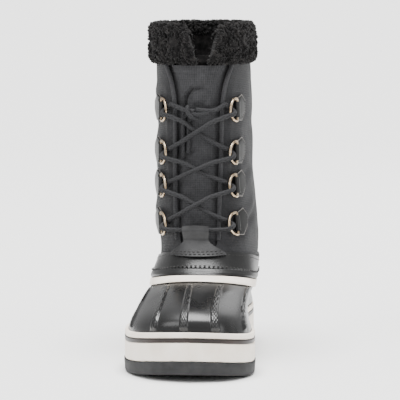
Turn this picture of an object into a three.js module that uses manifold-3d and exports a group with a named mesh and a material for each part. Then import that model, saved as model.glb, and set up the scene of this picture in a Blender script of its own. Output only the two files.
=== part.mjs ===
// A lace-up winter pac boot for the right foot, standing empty on its sole.
// Millimetres, +Z up, toe towards -Y, +X is the inner (medial) side of the foot.
import * as THREE from "three";
import { mergeVertices } from "three/addons/utils/BufferGeometryUtils.js";
import Module from "manifold-3d";

const wasm = await Module();
wasm.setup();

// Driving sizes of the last and the sole
const SOLE_LENGTH = 308;
const BALL_WIDTH = 114;
const OUTSOLE_HEIGHT = 11;
const MIDSOLE_HEIGHT = 16;
const STRIPE_HEIGHT = 3;
const BEAD_HEIGHT = 5;
const TOE_SPRING = 7;
const ARCH_RISE = 3.5;
const LUG_DEPTH = 4;
const LUG_WIDTH = 9;
const GROOVE_WIDTH = 5;
const BAND_THICKNESS = 3.2;
const INSOLE_THICKNESS = 4;

// Driving sizes of the upper
const INSTEP_HEIGHT = 75;
const SHAFT_TOP = 258;
const SHAFT_WIDTH = 86;
const SHAFT_DEPTH = 146;
const SHELL_WALL = 2.6;
const SHAFT_WALL = 2.4;
const TONGUE_WALL = 2;
const TONGUE_BULGE = 2;
const TONGUE_FOLD = 22;
const TONGUE_FOLD_OFFSET = 6;
const THROAT_WIDTH = 42;
const RIB_WIDTH = 4.6;
const RIB_HEIGHT = 2;
const TRIM_THICKNESS = 1.9;
const TRIM_WIDTH = 6.5;
const PIPING_WIDTH = 2.4;
const LEATHER = 1.5;

// Driving sizes of the collar, the lace fittings and the lace
const CUFF_HEIGHT = 35;
const CUFF_THICKNESS = 12;
const CUFF_OUTWARD = 6.5;
const CUFF_GAP_BOTTOM = 8;
const CUFF_GAP_TOP = 27;
const CUFF_GAP_OFFSET = 4;
const LOCK_SIZE = 4.6;
const KEEPER_WIDTH = 22;
const KEEPER_RISE = 22;
const KNOT_HEIGHT = 216;
const KNOT_OFFSET = -3;
const RING_HEIGHT = 22;
const RING_DEPTH = 13;
const WIRE = 2.4;
const BAR_REACH = 37;
const TAB_LENGTH = 17;
const TAB_WIDTH = 18;
const LACE = 4;
const FIT = 0.3;

const SOLE_TOP = OUTSOLE_HEIGHT + MIDSOLE_HEIGHT + FIT;
const STRIPE_TOP = SOLE_TOP + FIT + STRIPE_HEIGHT;
const BEAD_TOP = STRIPE_TOP + FIT + BEAD_HEIGHT;
const TURN_STEPS = 56;
const SHELL_FACE = [0, 0.16, 0.3, 0.46, 0.53, 0.64, 0.82, 0.992];
const SHELL_LINING = [0, 0.46, 0.992];
const SHAFT_FACE = [1, 1.045, 1.094, 1.16, 1.25, 1.38, 1.65, 2.05, 2.5, 3];
const SHAFT_LINING = [1, 1.2, 1.7, 3];

// Plan outline of the sole: share of the length from the heel, then the lateral
// and the medial reach as shares of half the ball width.
const SOLE_OUTLINE = [
  { along: 0.0, lateral: 0.0, medial: 0.0 },
  { along: 0.012, lateral: 0.3, medial: 0.3 },
  { along: 0.05, lateral: 0.54, medial: 0.53 },
  { along: 0.12, lateral: 0.7, medial: 0.69 },
  { along: 0.2, lateral: 0.755, medial: 0.73 },
  { along: 0.31, lateral: 0.765, medial: 0.69 },
  { along: 0.42, lateral: 0.81, medial: 0.66 },
  { along: 0.53, lateral: 0.9, medial: 0.71 },
  { along: 0.63, lateral: 0.98, medial: 0.84 },
  { along: 0.72, lateral: 1.0, medial: 0.96 },
  { along: 0.8, lateral: 0.95, medial: 1.0 },
  { along: 0.87, lateral: 0.83, medial: 0.97 },
  { along: 0.93, lateral: 0.62, medial: 0.83 },
  { along: 0.975, lateral: 0.34, medial: 0.6 },
  { along: 1.0, lateral: -0.12, medial: 0.12 },
];

// Rings of the upper. Below the instep, fore and aft are shares of half the length
// inside the bands, the reaches are shares of half the width inside them, and the
// rises are shares of the way from the sole to the instep.
const RING_COLUMNS = ["level", "fore", "aft", "lateral", "medial", "front", "side", "back", "leg"];
const ringRow = (values) => Object.fromEntries(RING_COLUMNS.map((name, i) => [name, values[i]]));
const FOOT_RINGS = [
  [0.0, 1.0, 1.0, 1.0, 1.0, 0.0, 0.0, 0.0, 0.0],
  [0.16, 1.0, 1.0, 1.0, 1.0, 0.17, 0.17, 0.17, 0.0],
  [0.36, 0.97, 0.99, 0.964, 0.959, 0.41, 0.31, 0.4, 0.06],
  [0.57, 0.87, 0.977, 0.9, 0.925, 0.63, 0.46, 0.64, 0.16],
  [0.79, 0.655, 0.962, 0.842, 0.93, 0.86, 0.61, 0.87, 0.34],
  [1.0, 0.409, 0.9455, 0.8, 0.96, 1.0, 0.74, 1.09, 0.55],
].map(ringRow);

// Above the instep, fore and aft are shares of the shaft's depth, the reaches are
// shares of half its width and the rises are shares of the way to the shaft's top.
const LEG_RINGS = [
  [1.14, 0.355, 0.968, 0.985, 1.2, 0.038, -0.022, 0.065, 0.68],
  [1.35, 0.272, 0.958, 0.86, 1.18, 0.12, 0.085, 0.14, 0.85],
  [1.65, 0.195, 0.95, 0.95, 1.12, 0.25, 0.24, 0.26, 0.96],
  [2.05, 0.125, 0.952, 0.985, 1.0, 0.46, 0.46, 0.465, 1.0],
  [2.5, 0.075, 0.967, 1.0, 0.97, 0.72, 0.72, 0.72, 1.0],
  [3.0, 0.05, 0.985, 1.02, 0.92, 1.0, 1.0, 1.0, 1.0],
  [3.4, 0.04, 1.0, 1.04, 0.84, 1.21, 1.21, 1.21, 1.0],
].map(ringRow);
// The shares at which a ring ends flush with the shaft's front and back.
const FLUSH_FORE = 0.05;
const FLUSH_AFT = 0.97;
const TOP_LEVEL = 3;
const TRIM_LEVEL = 1;
const THROAT_FOOT = 0.16;

// Half the throat as a share of half its width, by share of the way up the shaft.
const THROAT = [
  { rise: 0.1, half: 0.86 },
  { rise: 0.3, half: 0.93 },
  { rise: 0.55, half: 1.0 },
  { rise: 0.8, half: 1.04 },
  { rise: 0.9, half: 1.2 },
  { rise: 0.96, half: 1.45 },
  { rise: 1.05, half: 2.0 },
];

// The ribs of the shell: turns from the toe at the sole and at the trim.
const RIBS = [
  { low: -0.165, high: -0.17 },
  { low: -0.088, high: -0.084 },
  { low: -0.012, high: -0.012 },
  { low: 0.062, high: 0.06 },
  { low: 0.135, high: 0.14 },
];

// The lace rings: share of the way up the shaft, the same on both sides.
const RING_ROWS = [0.78, 0.575, 0.417, 0.237];

const clamp = THREE.MathUtils.clamp;
const lerp = THREE.MathUtils.lerp;
const smooth = THREE.MathUtils.smoothstep;

// The value of a column at a place between the rows, on one smooth curve.
function columnAt(rows, key, column, place) {
  const last = rows.length - 1;
  let i = 0;
  while (i < last - 1 && place > rows[i + 1][key]) i += 1;
  const slope = (k) => {
    const a = rows[Math.max(k - 1, 0)];
    const b = rows[Math.min(k + 1, last)];
    return (b[column] - a[column]) / (b[key] - a[key]);
  };
  const a = rows[i];
  const b = rows[i + 1];
  const span = b[key] - a[key];
  const s = (place - a[key]) / span;
  if (s < 0) return a[column] + slope(0) * (place - a[key]);
  if (s > 1) return b[column] + slope(last) * (place - b[key]);
  const h = s * s * (3 - 2 * s);
  const bend = s * (1 - s) * ((1 - s) * slope(i) - s * slope(i + 1)) * span;
  return lerp(a[column], b[column], h) + bend;
}

// Share of the toe spring at a place along the foot.
function springAt(y) {
  const half = SOLE_LENGTH / 2;
  const start = 0.56 * half;
  return TOE_SPRING * clamp((-y - start) / (half - start), 0, 1) ** 2;
}

// The sole's outline as evenly spaced points, x and y from -1 to 1, from the toe
// round the medial side to the heel and back along the lateral side.
function soleSide(column, sign) {
  const points = SOLE_OUTLINE.map((row) => {
    return new THREE.Vector2(sign * row[column], 1 - 2 * row.along);
  });
  return new THREE.SplineCurve(points.reverse());
}
const medialSide = soleSide("medial", 1);
const lateralSide = soleSide("lateral", -1);
const TOE_X = 0.12;
const FINE = 240;
const medialPoints = medialSide.getSpacedPoints(FINE);
const lateralPoints = lateralSide.getSpacedPoints(FINE);

function soleShape(turn) {
  const u = ((turn % 1) + 1) % 1;
  const medial = u <= 0.5;
  const place = (medial ? u * 2 : (1 - u) * 2) * FINE;
  const i = Math.min(Math.floor(place), FINE - 1);
  const list = medial ? medialPoints : lateralPoints;
  return list[i].clone().lerp(list[i + 1], place - i);
}

// The leg's outline: a full oval, flatter in front.
function legShape(turn) {
  const angle = turn * Math.PI * 2;
  const power = lerp(0.84, 0.94, (1 - Math.cos(angle)) / 2);
  const x = Math.sin(angle);
  const y = -Math.cos(angle);
  return new THREE.Vector2(Math.sign(x) * Math.abs(x) ** power, Math.sign(y) * Math.abs(y) ** power);
}

// One ring's sizes in millimetres.
const INNER_LENGTH = SOLE_LENGTH / 2 - BAND_THICKNESS - FIT;
const INNER_WIDTH = BALL_WIDTH / 2 - BAND_THICKNESS - FIT;
const SHAFT_BACK = FOOT_RINGS.at(-1).aft * INNER_LENGTH;
const RING_SIZES = [
  ...FOOT_RINGS.map((row) => ({
    level: row.level,
    fore: -row.fore * INNER_LENGTH,
    aft: row.aft * INNER_LENGTH,
    lateral: row.lateral * INNER_WIDTH,
    medial: row.medial * INNER_WIDTH,
    front: lerp(SOLE_TOP, INSTEP_HEIGHT, row.front),
    side: lerp(SOLE_TOP, INSTEP_HEIGHT, row.side),
    back: lerp(SOLE_TOP, INSTEP_HEIGHT, row.back),
    leg: row.leg,
  })),
  ...LEG_RINGS.map((row) => ({
    level: row.level,
    fore: SHAFT_BACK - SHAFT_DEPTH - (row.fore - FLUSH_FORE) * SHAFT_DEPTH,
    aft: SHAFT_BACK + (row.aft - FLUSH_AFT) * SHAFT_DEPTH,
    lateral: row.lateral * (SHAFT_WIDTH / 2),
    medial: row.medial * (SHAFT_WIDTH / 2),
    front: lerp(INSTEP_HEIGHT, SHAFT_TOP, row.front),
    side: lerp(INSTEP_HEIGHT, SHAFT_TOP, row.side),
    back: lerp(INSTEP_HEIGHT, SHAFT_TOP, row.back),
    leg: row.leg,
  })),
];

// A point of the upper's outer face: turn goes once round from the toe by the
// medial side, level goes from the sole through the trim to the collar.
function upperPoint(turn, level) {
  const at = (column) => columnAt(RING_SIZES, "level", column, level);
  const foot = soleShape(turn);
  const leg = legShape(turn);
  const share = clamp(at("leg"), 0, 1);
  const toeShift = TOE_X * (1 - share) * clamp(-foot.y, 0, 1) ** 2;
  const x = lerp(foot.x, leg.x + toeShift, share);
  const y = lerp(foot.y, leg.y, share);
  const fore = at("fore");
  const aft = at("aft");
  const reach = x > 0 ? at("medial") : at("lateral");
  const front = at("front");
  const side = at("side");
  const back = at("back");
  const deep = (fore + aft) / 2 + (y * (aft - fore)) / 2;
  const rise = side + ((back - front) / 2) * y + ((back + front) / 2 - side) * y * y;
  return new THREE.Vector3(x * reach, deep, rise + springAt(deep));
}

const STEP = 0.002;
function upperNormal(turn, level) {
  const round = upperPoint(turn + STEP, level).sub(upperPoint(turn - STEP, level));
  const up = upperPoint(turn, level + STEP).sub(upperPoint(turn, level - STEP));
  return round.cross(up).normalize();
}

// The same point moved out from the face.
function outFrom(turn, level, out) {
  return upperPoint(turn, level).addScaledVector(upperNormal(turn, level), out);
}

// The level at which a place round the upper reaches a height.
function levelAt(turn, height) {
  let low = 0;
  let high = 3.6;
  for (let i = 0; i < 30; i += 1) {
    const middle = (low + high) / 2;
    if (upperPoint(turn, middle).z < height) low = middle;
    else high = middle;
  }
  return (low + high) / 2;
}

// The turn that lies a distance round the upper from the front, medial side positive.
function turnAt(distance, height) {
  const steps = 60;
  const sign = Math.sign(distance) || 1;
  let length = 0;
  let turn = 0;
  let last = upperPoint(0, levelAt(0, height));
  for (let i = 1; i <= steps; i += 1) {
    const next = (sign * i * 0.4) / steps;
    const point = upperPoint(next, levelAt(next, height));
    const piece = point.distanceTo(last);
    if (length + piece >= Math.abs(distance)) {
      return turn + (next - turn) * ((Math.abs(distance) - length) / piece);
    }
    length += piece;
    turn = next;
    last = point;
  }
  return turn;
}

// A point on the boot by distance from the front, height and distance out.
function onBoot(distance, height, out) {
  const turn = turnAt(distance, height);
  return outFrom(turn, levelAt(turn, height), out);
}

const heightUp = (share) => lerp(INSTEP_HEIGHT, SHAFT_TOP, share);

// A closed body from loops of points: joined into a ring, or capped at both ends.
function loft(loops, closed, ladder) {
  const count = loops[0].length;
  const positions = loops.flat().flatMap((p) => [p.x, p.y, p.z]);
  const faces = [];
  const id = (i, j) => (i % loops.length) * count + (j % count);
  const last = closed ? loops.length : loops.length - 1;
  for (let i = 0; i < last; i += 1) {
    for (let j = 0; j < count; j += 1) {
      faces.push(id(i, j), id(i, j + 1), id(i + 1, j));
      faces.push(id(i, j + 1), id(i + 1, j + 1), id(i + 1, j));
    }
  }
  if (!closed) {
    for (const [i, flip] of [[0, true], [loops.length - 1, false]]) {
      for (const face of ladder ? ladderFaces(count, ladder) : fanFaces(count)) {
        const [a, b, c] = flip ? [face[0], face[2], face[1]] : face;
        faces.push(id(i, a), id(i, b), id(i, c));
      }
    }
  }
  const geometry = new THREE.BufferGeometry();
  geometry.setAttribute("position", new THREE.Float32BufferAttribute(positions, 3));
  geometry.setIndex(faces);
  return geometry;
}

function fanFaces(count) {
  const faces = [];
  for (let j = 1; j < count - 1; j += 1) faces.push([0, j, j + 1]);
  return faces;
}

// Faces that run straight across a loop, from each point to its partner opposite.
function ladderFaces(count, shift) {
  const faces = [];
  const at = (j) => (((j % count) + count) % count);
  const partner = (j) => (shift === "sides" ? count - 1 - j : at(-j));
  const rows = Math.floor(count / 2);
  for (let j = 0; j < rows; j += 1) {
    const a = j;
    const b = j + 1;
    const c = partner(j + 1);
    const d = partner(j);
    if (a !== b && b !== c && a !== c) faces.push([a, b, c]);
    if (a !== c && c !== d && a !== d) faces.push([a, c, d]);
  }
  return faces;
}

// A wall on the upper: its outer and inner rows are lists of levels, and outer and
// inner give how far out each face lies.
function wall({ from, to, face, lining, outer, inner }) {
  const closed = to - from >= TURN_STEPS;
  const loops = [];
  for (let i = from; i < to + (closed ? 0 : 1); i += 1) {
    const turn = i / TURN_STEPS;
    loops.push([
      ...face.map((level) => outFrom(turn, level, outer(turn, level))),
      ...[...lining].reverse().map((level) => outFrom(turn, level, inner(turn, level))),
    ]);
  }
  return loft(loops, closed, "sides");
}

// A round bar along a list of points; closed runs back to its start.
function bar(points, radius, sides, closed) {
  const curve = new THREE.CatmullRomCurve3(points, closed, "centripetal");
  const steps = points.length - (closed ? 0 : 1);
  const frames = curve.computeFrenetFrames(steps, closed);
  const loops = [];
  for (let i = 0; i < (closed ? steps : steps + 1); i += 1) {
    const centre = curve.getPointAt(i / steps);
    const loop = [];
    for (let j = 0; j < sides; j += 1) {
      const angle = (j / sides) * Math.PI * 2;
      loop.push(
        centre
          .clone()
          .addScaledVector(frames.normals[i], Math.cos(angle) * radius)
          .addScaledVector(frames.binormals[i], Math.sin(angle) * radius),
      );
    }
    loops.push(loop);
  }
  return loft(loops, closed);
}

function solid(geometry) {
  const plain = new THREE.BufferGeometry();
  plain.setAttribute("position", geometry.getAttribute("position"));
  plain.setIndex(geometry.index);
  const merged = mergeVertices(plain, 1e-4);
  const triVerts = new Uint32Array(merged.index.array);
  const vertProperties = new Float32Array(merged.attributes.position.array);
  let made = new wasm.Manifold(new wasm.Mesh({ numProp: 3, vertProperties, triVerts }));
  if (made.volume() < 0) {
    for (let i = 0; i < triVerts.length; i += 3) {
      [triVerts[i + 1], triVerts[i + 2]] = [triVerts[i + 2], triVerts[i + 1]];
    }
    made = new wasm.Manifold(new wasm.Mesh({ numProp: 3, vertProperties, triVerts }));
  }
  return made;
}

const joined = (geometries) => geometries.map(solid).reduce((a, b) => a.add(b));

const boot = new THREE.Group();

function addPiece(name, shape, finish) {
  const mesh = shape.getMesh();
  const geometry = new THREE.BufferGeometry();
  geometry.setAttribute("position", new THREE.Float32BufferAttribute(mesh.vertProperties, 3));
  geometry.setIndex(new THREE.Uint32BufferAttribute(mesh.triVerts, 1));
  geometry.computeVertexNormals();
  const piece = new THREE.Mesh(geometry, new THREE.MeshStandardMaterial(finish));
  piece.name = name;
  boot.add(piece);
}

// Finishes
const GREY_RUBBER = { color: 0x4b4a4a, roughness: 0.8, metalness: 0 };
const CREAM_RUBBER = { color: 0xe9dfd2, roughness: 0.55, metalness: 0 };
const DARK_STRIPE = { color: 0x3a302d, roughness: 0.35, metalness: 0 };
const BLACK_RUBBER = { color: 0x161616, roughness: 0.35, metalness: 0 };
const NYLON = { color: 0x4a4a4b, roughness: 0.9, metalness: 0 };
const BLACK_LEATHER = { color: 0x1d1c1c, roughness: 0.45, metalness: 0 };
const PILE = { color: 0x333231, roughness: 1, metalness: 0 };
const FELT = { color: 0x6d6a66, roughness: 1, metalness: 0 };
const BRASS = { color: 0xb5a285, roughness: 0.3, metalness: 1 };
const CORD = { color: 0x3b3b3c, roughness: 0.9, metalness: 0 };

// A loop of the sole's outline, drawn in by a distance, at a height above the ground.
function soleLoop(inset, heightOf) {
  const loop = [];
  for (let i = 0; i < TURN_STEPS; i += 1) {
    const turn = i / TURN_STEPS;
    const p = soleShape(turn);
    const x = p.x * (BALL_WIDTH / 2 - inset);
    const y = p.y * (SOLE_LENGTH / 2 - inset);
    loop.push(new THREE.Vector3(x, y, heightOf(y, turn)));
  }
  return loop;
}

// Outsole: a rubber slab with toe spring, an arch, a waved upper edge and lug grooves.
function archAt(y) {
  const half = SOLE_LENGTH / 2;
  const place = y / half;
  return ARCH_RISE * smooth(place, 0.02, 0.16) * (1 - smooth(place, 0.34, 0.46));
}

function chevron(y, reach, width, depth) {
  const outline = new THREE.Shape();
  const sweep = reach * 0.28;
  outline.moveTo(-reach, y + sweep);
  outline.lineTo(0, y);
  outline.lineTo(reach, y + sweep);
  outline.lineTo(reach, y + sweep + width);
  outline.lineTo(0, y + width);
  outline.lineTo(-reach, y + sweep + width);
  const block = new THREE.ExtrudeGeometry(outline, { depth: depth + LUG_DEPTH, bevelEnabled: false });
  block.translate(0, 0, -LUG_DEPTH);
  return block;
}

function makeOutsole() {
  const under = (y) => springAt(y) + archAt(y);
  const wave = (turn) => 0.45 * Math.sin(turn * Math.PI * 2 * 18);
  const slab = solid(
    loft(
      [
        soleLoop(1.6, under),
        soleLoop(0.4, (y) => under(y) + 1.4),
        soleLoop(0, (y, turn) => springAt(y) + OUTSOLE_HEIGHT - 1 + wave(turn)),
        soleLoop(0.7, (y) => springAt(y) + OUTSOLE_HEIGHT),
      ],
      false,
      "across",
    ),
  );
  const pitch = LUG_WIDTH + GROOVE_WIDTH;
  const half = SOLE_LENGTH / 2;
  let sole = slab;
  const rim = 7;
  const field = solid(
    loft([soleLoop(rim, () => -LUG_DEPTH), soleLoop(rim, () => OUTSOLE_HEIGHT * 2)], false, "across"),
  );
  for (let y = -half + pitch; y < half - pitch; y += pitch) {
    const inArch = y > -0.04 * half && y < 0.44 * half;
    if (inArch) continue;
    const depth = LUG_DEPTH + springAt(y + pitch / 2);
    sole = sole.subtract(solid(chevron(y, BALL_WIDTH, GROOVE_WIDTH, depth)).intersect(field));
  }
  return sole;
}
addPiece("outsole", makeOutsole(), GREY_RUBBER);

// Midsole: the cream cup between the outsole and the upper.
function makeMidsole() {
  const low = OUTSOLE_HEIGHT + FIT;
  const high = OUTSOLE_HEIGHT + MIDSOLE_HEIGHT;
  return solid(
    loft(
      [
        soleLoop(0.9, (y) => springAt(y) + low),
        soleLoop(0.3, (y) => springAt(y) + low + 0.8),
        soleLoop(0.3, (y) => springAt(y) + high - 0.6),
        soleLoop(0.8, (y) => springAt(y) + high),
      ],
      false,
      "across",
    ),
  );
}
addPiece("midsole", makeMidsole(), CREAM_RUBBER);

// A band wrapped round the shell, as a closed ring between two insets.
function makeBand(low, high, inset, crown) {
  const loops = [];
  for (let i = 0; i < TURN_STEPS; i += 1) {
    const turn = i / TURN_STEPS;
    const p = soleShape(turn);
    const ring = (gap, height) => {
      const y = p.y * (SOLE_LENGTH / 2 - gap);
      return new THREE.Vector3(p.x * (BALL_WIDTH / 2 - gap), y, height + springAt(y));
    };
    loops.push([
      ring(inset, low),
      ring(inset, lerp(low, high, 0.55)),
      ring(inset + crown, high),
      ring(BAND_THICKNESS, high),
      ring(BAND_THICKNESS, low),
    ]);
  }
  return solid(loft(loops, true));
}
addPiece("foxing_stripe", makeBand(SOLE_TOP, STRIPE_TOP - FIT, 0.9, 0.2), DARK_STRIPE);
addPiece("foxing_bead", makeBand(STRIPE_TOP, BEAD_TOP - FIT, 0.5, 1.1), CREAM_RUBBER);

// Insole: a cushioned bed inside the shell.
function makeInsole() {
  const inset = BAND_THICKNESS + SHELL_WALL + 2.2;
  const low = SOLE_TOP;
  return solid(
    loft(
      [
        soleLoop(inset + 1, (y) => springAt(y) + low),
        soleLoop(inset, (y) => springAt(y) + low + INSOLE_THICKNESS * 0.5),
        soleLoop(inset + 0.8, (y) => springAt(y) + low + INSOLE_THICKNESS),
      ],
      false,
      "across",
    ),
  );
}
addPiece("insole", makeInsole(), FELT);

// Shell: the hollow rubber foot, open at the instep and underneath, with its ribs.
function makeShell() {
  const body = wall({
    from: 0,
    to: TURN_STEPS,
    face: SHELL_FACE,
    lining: SHELL_LINING,
    outer: () => 0,
    inner: () => -SHELL_WALL,
  });
  const ribs = RIBS.map((row) => {
    const loops = [];
    const rows = 7;
    for (let i = 0; i <= rows; i += 1) {
      const level = lerp(0.2, TRIM_LEVEL - 0.07, i / rows);
      const turn = lerp(row.low, row.high, i / rows);
      const here = upperPoint(turn, level);
      const side = upperPoint(turn + STEP, level).sub(here).normalize();
      const out = upperNormal(turn, level);
      const half = (RIB_WIDTH / 2) * lerp(1.1, 0.85, i / rows);
      const tall = RIB_HEIGHT * (i === 0 || i === rows ? 0.45 : 1);
      const place = (across, up) => {
        return here.clone().addScaledVector(side, across * half).addScaledVector(out, up);
      };
      loops.push([place(-1.15, -1.2), place(1.15, -1.2), place(0.62, tall), place(-0.62, tall)]);
    }
    return loft(loops, false);
  });
  return joined([body, ...ribs]);
}
addPiece("shell", makeShell(), BLACK_RUBBER);

// Shaft: the hollow nylon leg, with the throat cut out of its front.
const throatHalf = (height) => {
  const rise = (height - INSTEP_HEIGHT) / (SHAFT_TOP - INSTEP_HEIGHT);
  return (THROAT_WIDTH / 2) * columnAt(THROAT, "rise", "half", rise);
};

function throatPatch(lowHeight, highHeight, rows, spread, outer, inner) {
  const loops = [];
  const across = 10;
  for (let i = 0; i <= rows; i += 1) {
    const height = lerp(lowHeight, highHeight, i / rows);
    const half = throatHalf(height) + spread;
    const places = [];
    for (let j = 0; j <= across; j += 1) places.push(lerp(-half, half, j / across));
    loops.push([
      ...places.map((distance) => onBoot(distance, height, outer(distance, height))),
      ...places.reverse().map((distance) => onBoot(distance, height, inner(distance, height))),
    ]);
  }
  return loft(loops, false, "sides");
}

function makeShaft() {
  const leg = solid(
    wall({
      from: 0,
      to: TURN_STEPS,
      face: SHAFT_FACE,
      lining: SHAFT_LINING,
      outer: () => 0,
      inner: () => -SHAFT_WALL,
    }),
  );
  const cut = throatPatch(heightUp(THROAT_FOOT), heightUp(1.04), 8, 0, () => 6, () => -8);
  return leg.subtract(solid(cut));
}
addPiece("shaft", makeShaft(), NYLON);

// Tongue: the gusseted nylon flap behind the throat, with a soft fold on its inner half.
function tongueOut(distance, height) {
  const behind = -SHAFT_WALL - 2 * FIT;
  const across = (distance - TONGUE_FOLD_OFFSET) / (TONGUE_FOLD / 2);
  const above = smooth(height, heightUp(THROAT_FOOT + 0.03), heightUp(THROAT_FOOT + 0.15));
  return behind + TONGUE_BULGE * clamp(1 - across ** 2, 0, 1) * above;
}
function makeTongue() {
  const inner = (distance, height) => tongueOut(distance, height) - TONGUE_WALL;
  return solid(throatPatch(heightUp(0.11), heightUp(0.985), 8, 9, tongueOut, inner));
}
addPiece("tongue", makeTongue(), NYLON);

// Trim: the cream strip over the joint of shell and shaft.
const LEVEL_LENGTH = 50;
const trimHigh = TRIM_LEVEL + (0.72 * TRIM_WIDTH) / LEVEL_LENGTH;
const trimLow = TRIM_LEVEL - (0.28 * TRIM_WIDTH) / LEVEL_LENGTH;
const trimRows = [trimLow, lerp(trimLow, trimHigh, 0.5), trimHigh];
addPiece(
  "shell_trim",
  solid(
    wall({
      from: 0,
      to: TURN_STEPS,
      face: trimRows,
      lining: [trimLow, TRIM_LEVEL, 1.045, trimHigh],
      outer: (turn, level) => FIT + TRIM_THICKNESS * (level === trimRows[1] ? 1 : 0.7),
      inner: () => FIT,
    }),
  ),
  CREAM_RUBBER,
);

// Heel counter: a raised rubber stiffener, with the cream piping along its upper edge.
const COUNTER_FROM = Math.round(0.26 * TURN_STEPS);
const COUNTER_ROWS = [0.2, 0.3, 0.46, 0.5];
addPiece(
  "heel_counter",
  solid(
    wall({
      from: COUNTER_FROM,
      to: TURN_STEPS - COUNTER_FROM,
      face: COUNTER_ROWS,
      lining: COUNTER_ROWS,
      outer: () => FIT + LEATHER,
      inner: () => FIT,
    }),
  ),
  BLACK_RUBBER,
);
const pipingLow = COUNTER_ROWS[3] + FIT / LEVEL_LENGTH;
const pipingHigh = pipingLow + PIPING_WIDTH / LEVEL_LENGTH;
const pipingRows = [pipingLow, (pipingLow + pipingHigh) / 2, pipingHigh];
addPiece(
  "heel_piping",
  solid(
    wall({
      from: COUNTER_FROM,
      to: TURN_STEPS - COUNTER_FROM,
      face: pipingRows,
      lining: pipingRows,
      outer: (turn, level) => FIT + LEATHER * (level === pipingRows[1] ? 1.3 : 0.8),
      inner: () => FIT,
    }),
  ),
  CREAM_RUBBER,
);

// Vamp overlay: the leather across the instep, rising into the lace keeper. It is cut
// from a wall on the shaft by the curve of its upper edge.
const OVERLAY_REACH = Math.round(0.3 * TURN_STEPS);
const OVERLAY_LEVELS = { front: 1.345, end: 1.27 };
const FRONT_LEVEL_LENGTH = 81.5;
const overlayLow = trimHigh + FIT / LEVEL_LENGTH;
function keeperShare(turn) {
  const distance = Math.abs(turn) * (SHAFT_WIDTH + SHAFT_DEPTH) * 1.72;
  return 1 - smooth(distance, KEEPER_WIDTH * 0.42, KEEPER_WIDTH * 1.15);
}
function overlayHigh(turn) {
  const place = Math.abs(turn * TURN_STEPS) / OVERLAY_REACH;
  const edge = lerp(OVERLAY_LEVELS.front, OVERLAY_LEVELS.end, smooth(place, 0.35, 1));
  return edge + (keeperShare(turn) * KEEPER_RISE) / FRONT_LEVEL_LENGTH;
}
function keeperLift(turn, level) {
  return (LACE + 2 * FIT) * smooth(level, OVERLAY_LEVELS.front - 0.01, OVERLAY_LEVELS.front + 0.16);
}
function makeOverlay() {
  const rows = [overlayLow, 1.16, 1.25, 1.38, 1.49, 1.62];
  const sheet = wall({
    from: -OVERLAY_REACH,
    to: OVERLAY_REACH,
    face: rows,
    lining: rows,
    outer: (turn, level) => FIT + LEATHER + keeperLift(turn, level),
    inner: (turn, level) => FIT + keeperLift(turn, level),
  });
  const loops = [];
  const steps = 13;
  for (let i = -steps; i <= steps; i += 1) {
    const place = Math.sign(i) * Math.abs(i / steps) ** 1.5;
    const turn = (place * (OVERLAY_REACH + 0.5)) / TURN_STEPS;
    const high = overlayHigh(turn);
    const levels = [0, 0.2, 0.4, 0.6, 0.8, 1].map((share) => lerp(overlayLow - 0.05, high, share));
    loops.push([
      ...levels.map((level) => outFrom(turn, level, LACE * 2.5)),
      ...levels.reverse().map((level) => outFrom(turn, level, -LACE)),
    ]);
  }
  return solid(sheet).intersect(solid(loft(loops, false, "sides")));
}
addPiece("vamp_overlay", makeOverlay(), BLACK_LEATHER);

// Cuff: the rolled pile collar, open at the front, with curled locks fused on.
const cuffGap = (share) => lerp(CUFF_GAP_BOTTOM, CUFF_GAP_TOP, share) / 2;
function cuffPoint(turn, share, out) {
  const level = TOP_LEVEL + FIT / 100 + (share * CUFF_HEIGHT) / ((SHAFT_TOP - INSTEP_HEIGHT) * 0.525);
  return outFrom(turn, level, out);
}
const CUFF_SECTION = 10;
function cuffOffset(j) {
  const angle = (j / CUFF_SECTION) * Math.PI * 2;
  const x = Math.cos(angle);
  const y = Math.sin(angle);
  return {
    out: CUFF_OUTWARD - CUFF_THICKNESS / 2 + (Math.sign(x) * Math.abs(x) ** 0.55 * CUFF_THICKNESS) / 2,
    share: 0.5 + (Math.sign(y) * Math.abs(y) ** 0.5) / 2,
  };
}
function makeCuff() {
  const loops = [];
  const steps = 40;
  for (let i = 0; i <= steps; i += 1) {
    const loop = [];
    for (let j = 0; j < CUFF_SECTION; j += 1) {
      const { out, share } = cuffOffset(j);
      const height = SHAFT_TOP + share * CUFF_HEIGHT;
      const from = turnAt(CUFF_GAP_OFFSET + cuffGap(share), height);
      const to = 1 + turnAt(CUFF_GAP_OFFSET - cuffGap(share), height);
      const round = lerp(from, to, i / steps);
      const lump = (CUFF_THICKNESS / 16) * Math.sin(i * 2.1 + j * 1.3);
      loop.push(cuffPoint(round, share, out + lump));
    }
    loops.push(loop);
  }
  let cuff = solid(loft(loops, false));
  let spin = 0.37;
  const rows = 4;
  for (let row = 0; row < rows; row += 1) {
    const locks = 15;
    for (let k = 0; k < locks; k += 1) {
      spin = (spin * 9.7 + 0.213) % 1;
      const share = clamp((row + 0.5) / rows + (spin - 0.5) * 0.12, 0.06, 0.94);
      const turn = lerp(0.05, 0.96, (k + 0.5 * (row % 2) + 0.3 * spin) / locks);
      const curl = new THREE.IcosahedronGeometry(LOCK_SIZE, 0);
      curl.deleteAttribute("normal");
      curl.deleteAttribute("uv");
      curl.scale(1, 0.8, 1.25);
      curl.rotateX(spin * 3);
      curl.rotateZ(spin * 7);
      const out = CUFF_OUTWARD - LOCK_SIZE * 0.62 - 1.6 * Math.abs(share - 0.5);
      const centre = cuffPoint(turn, share, out);
      curl.translate(centre.x, centre.y, centre.z);
      cuff = cuff.add(solid(mergeVertices(curl, 1e-4)));
    }
  }
  return cuff;
}
addPiece("cuff", makeCuff(), PILE);

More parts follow.
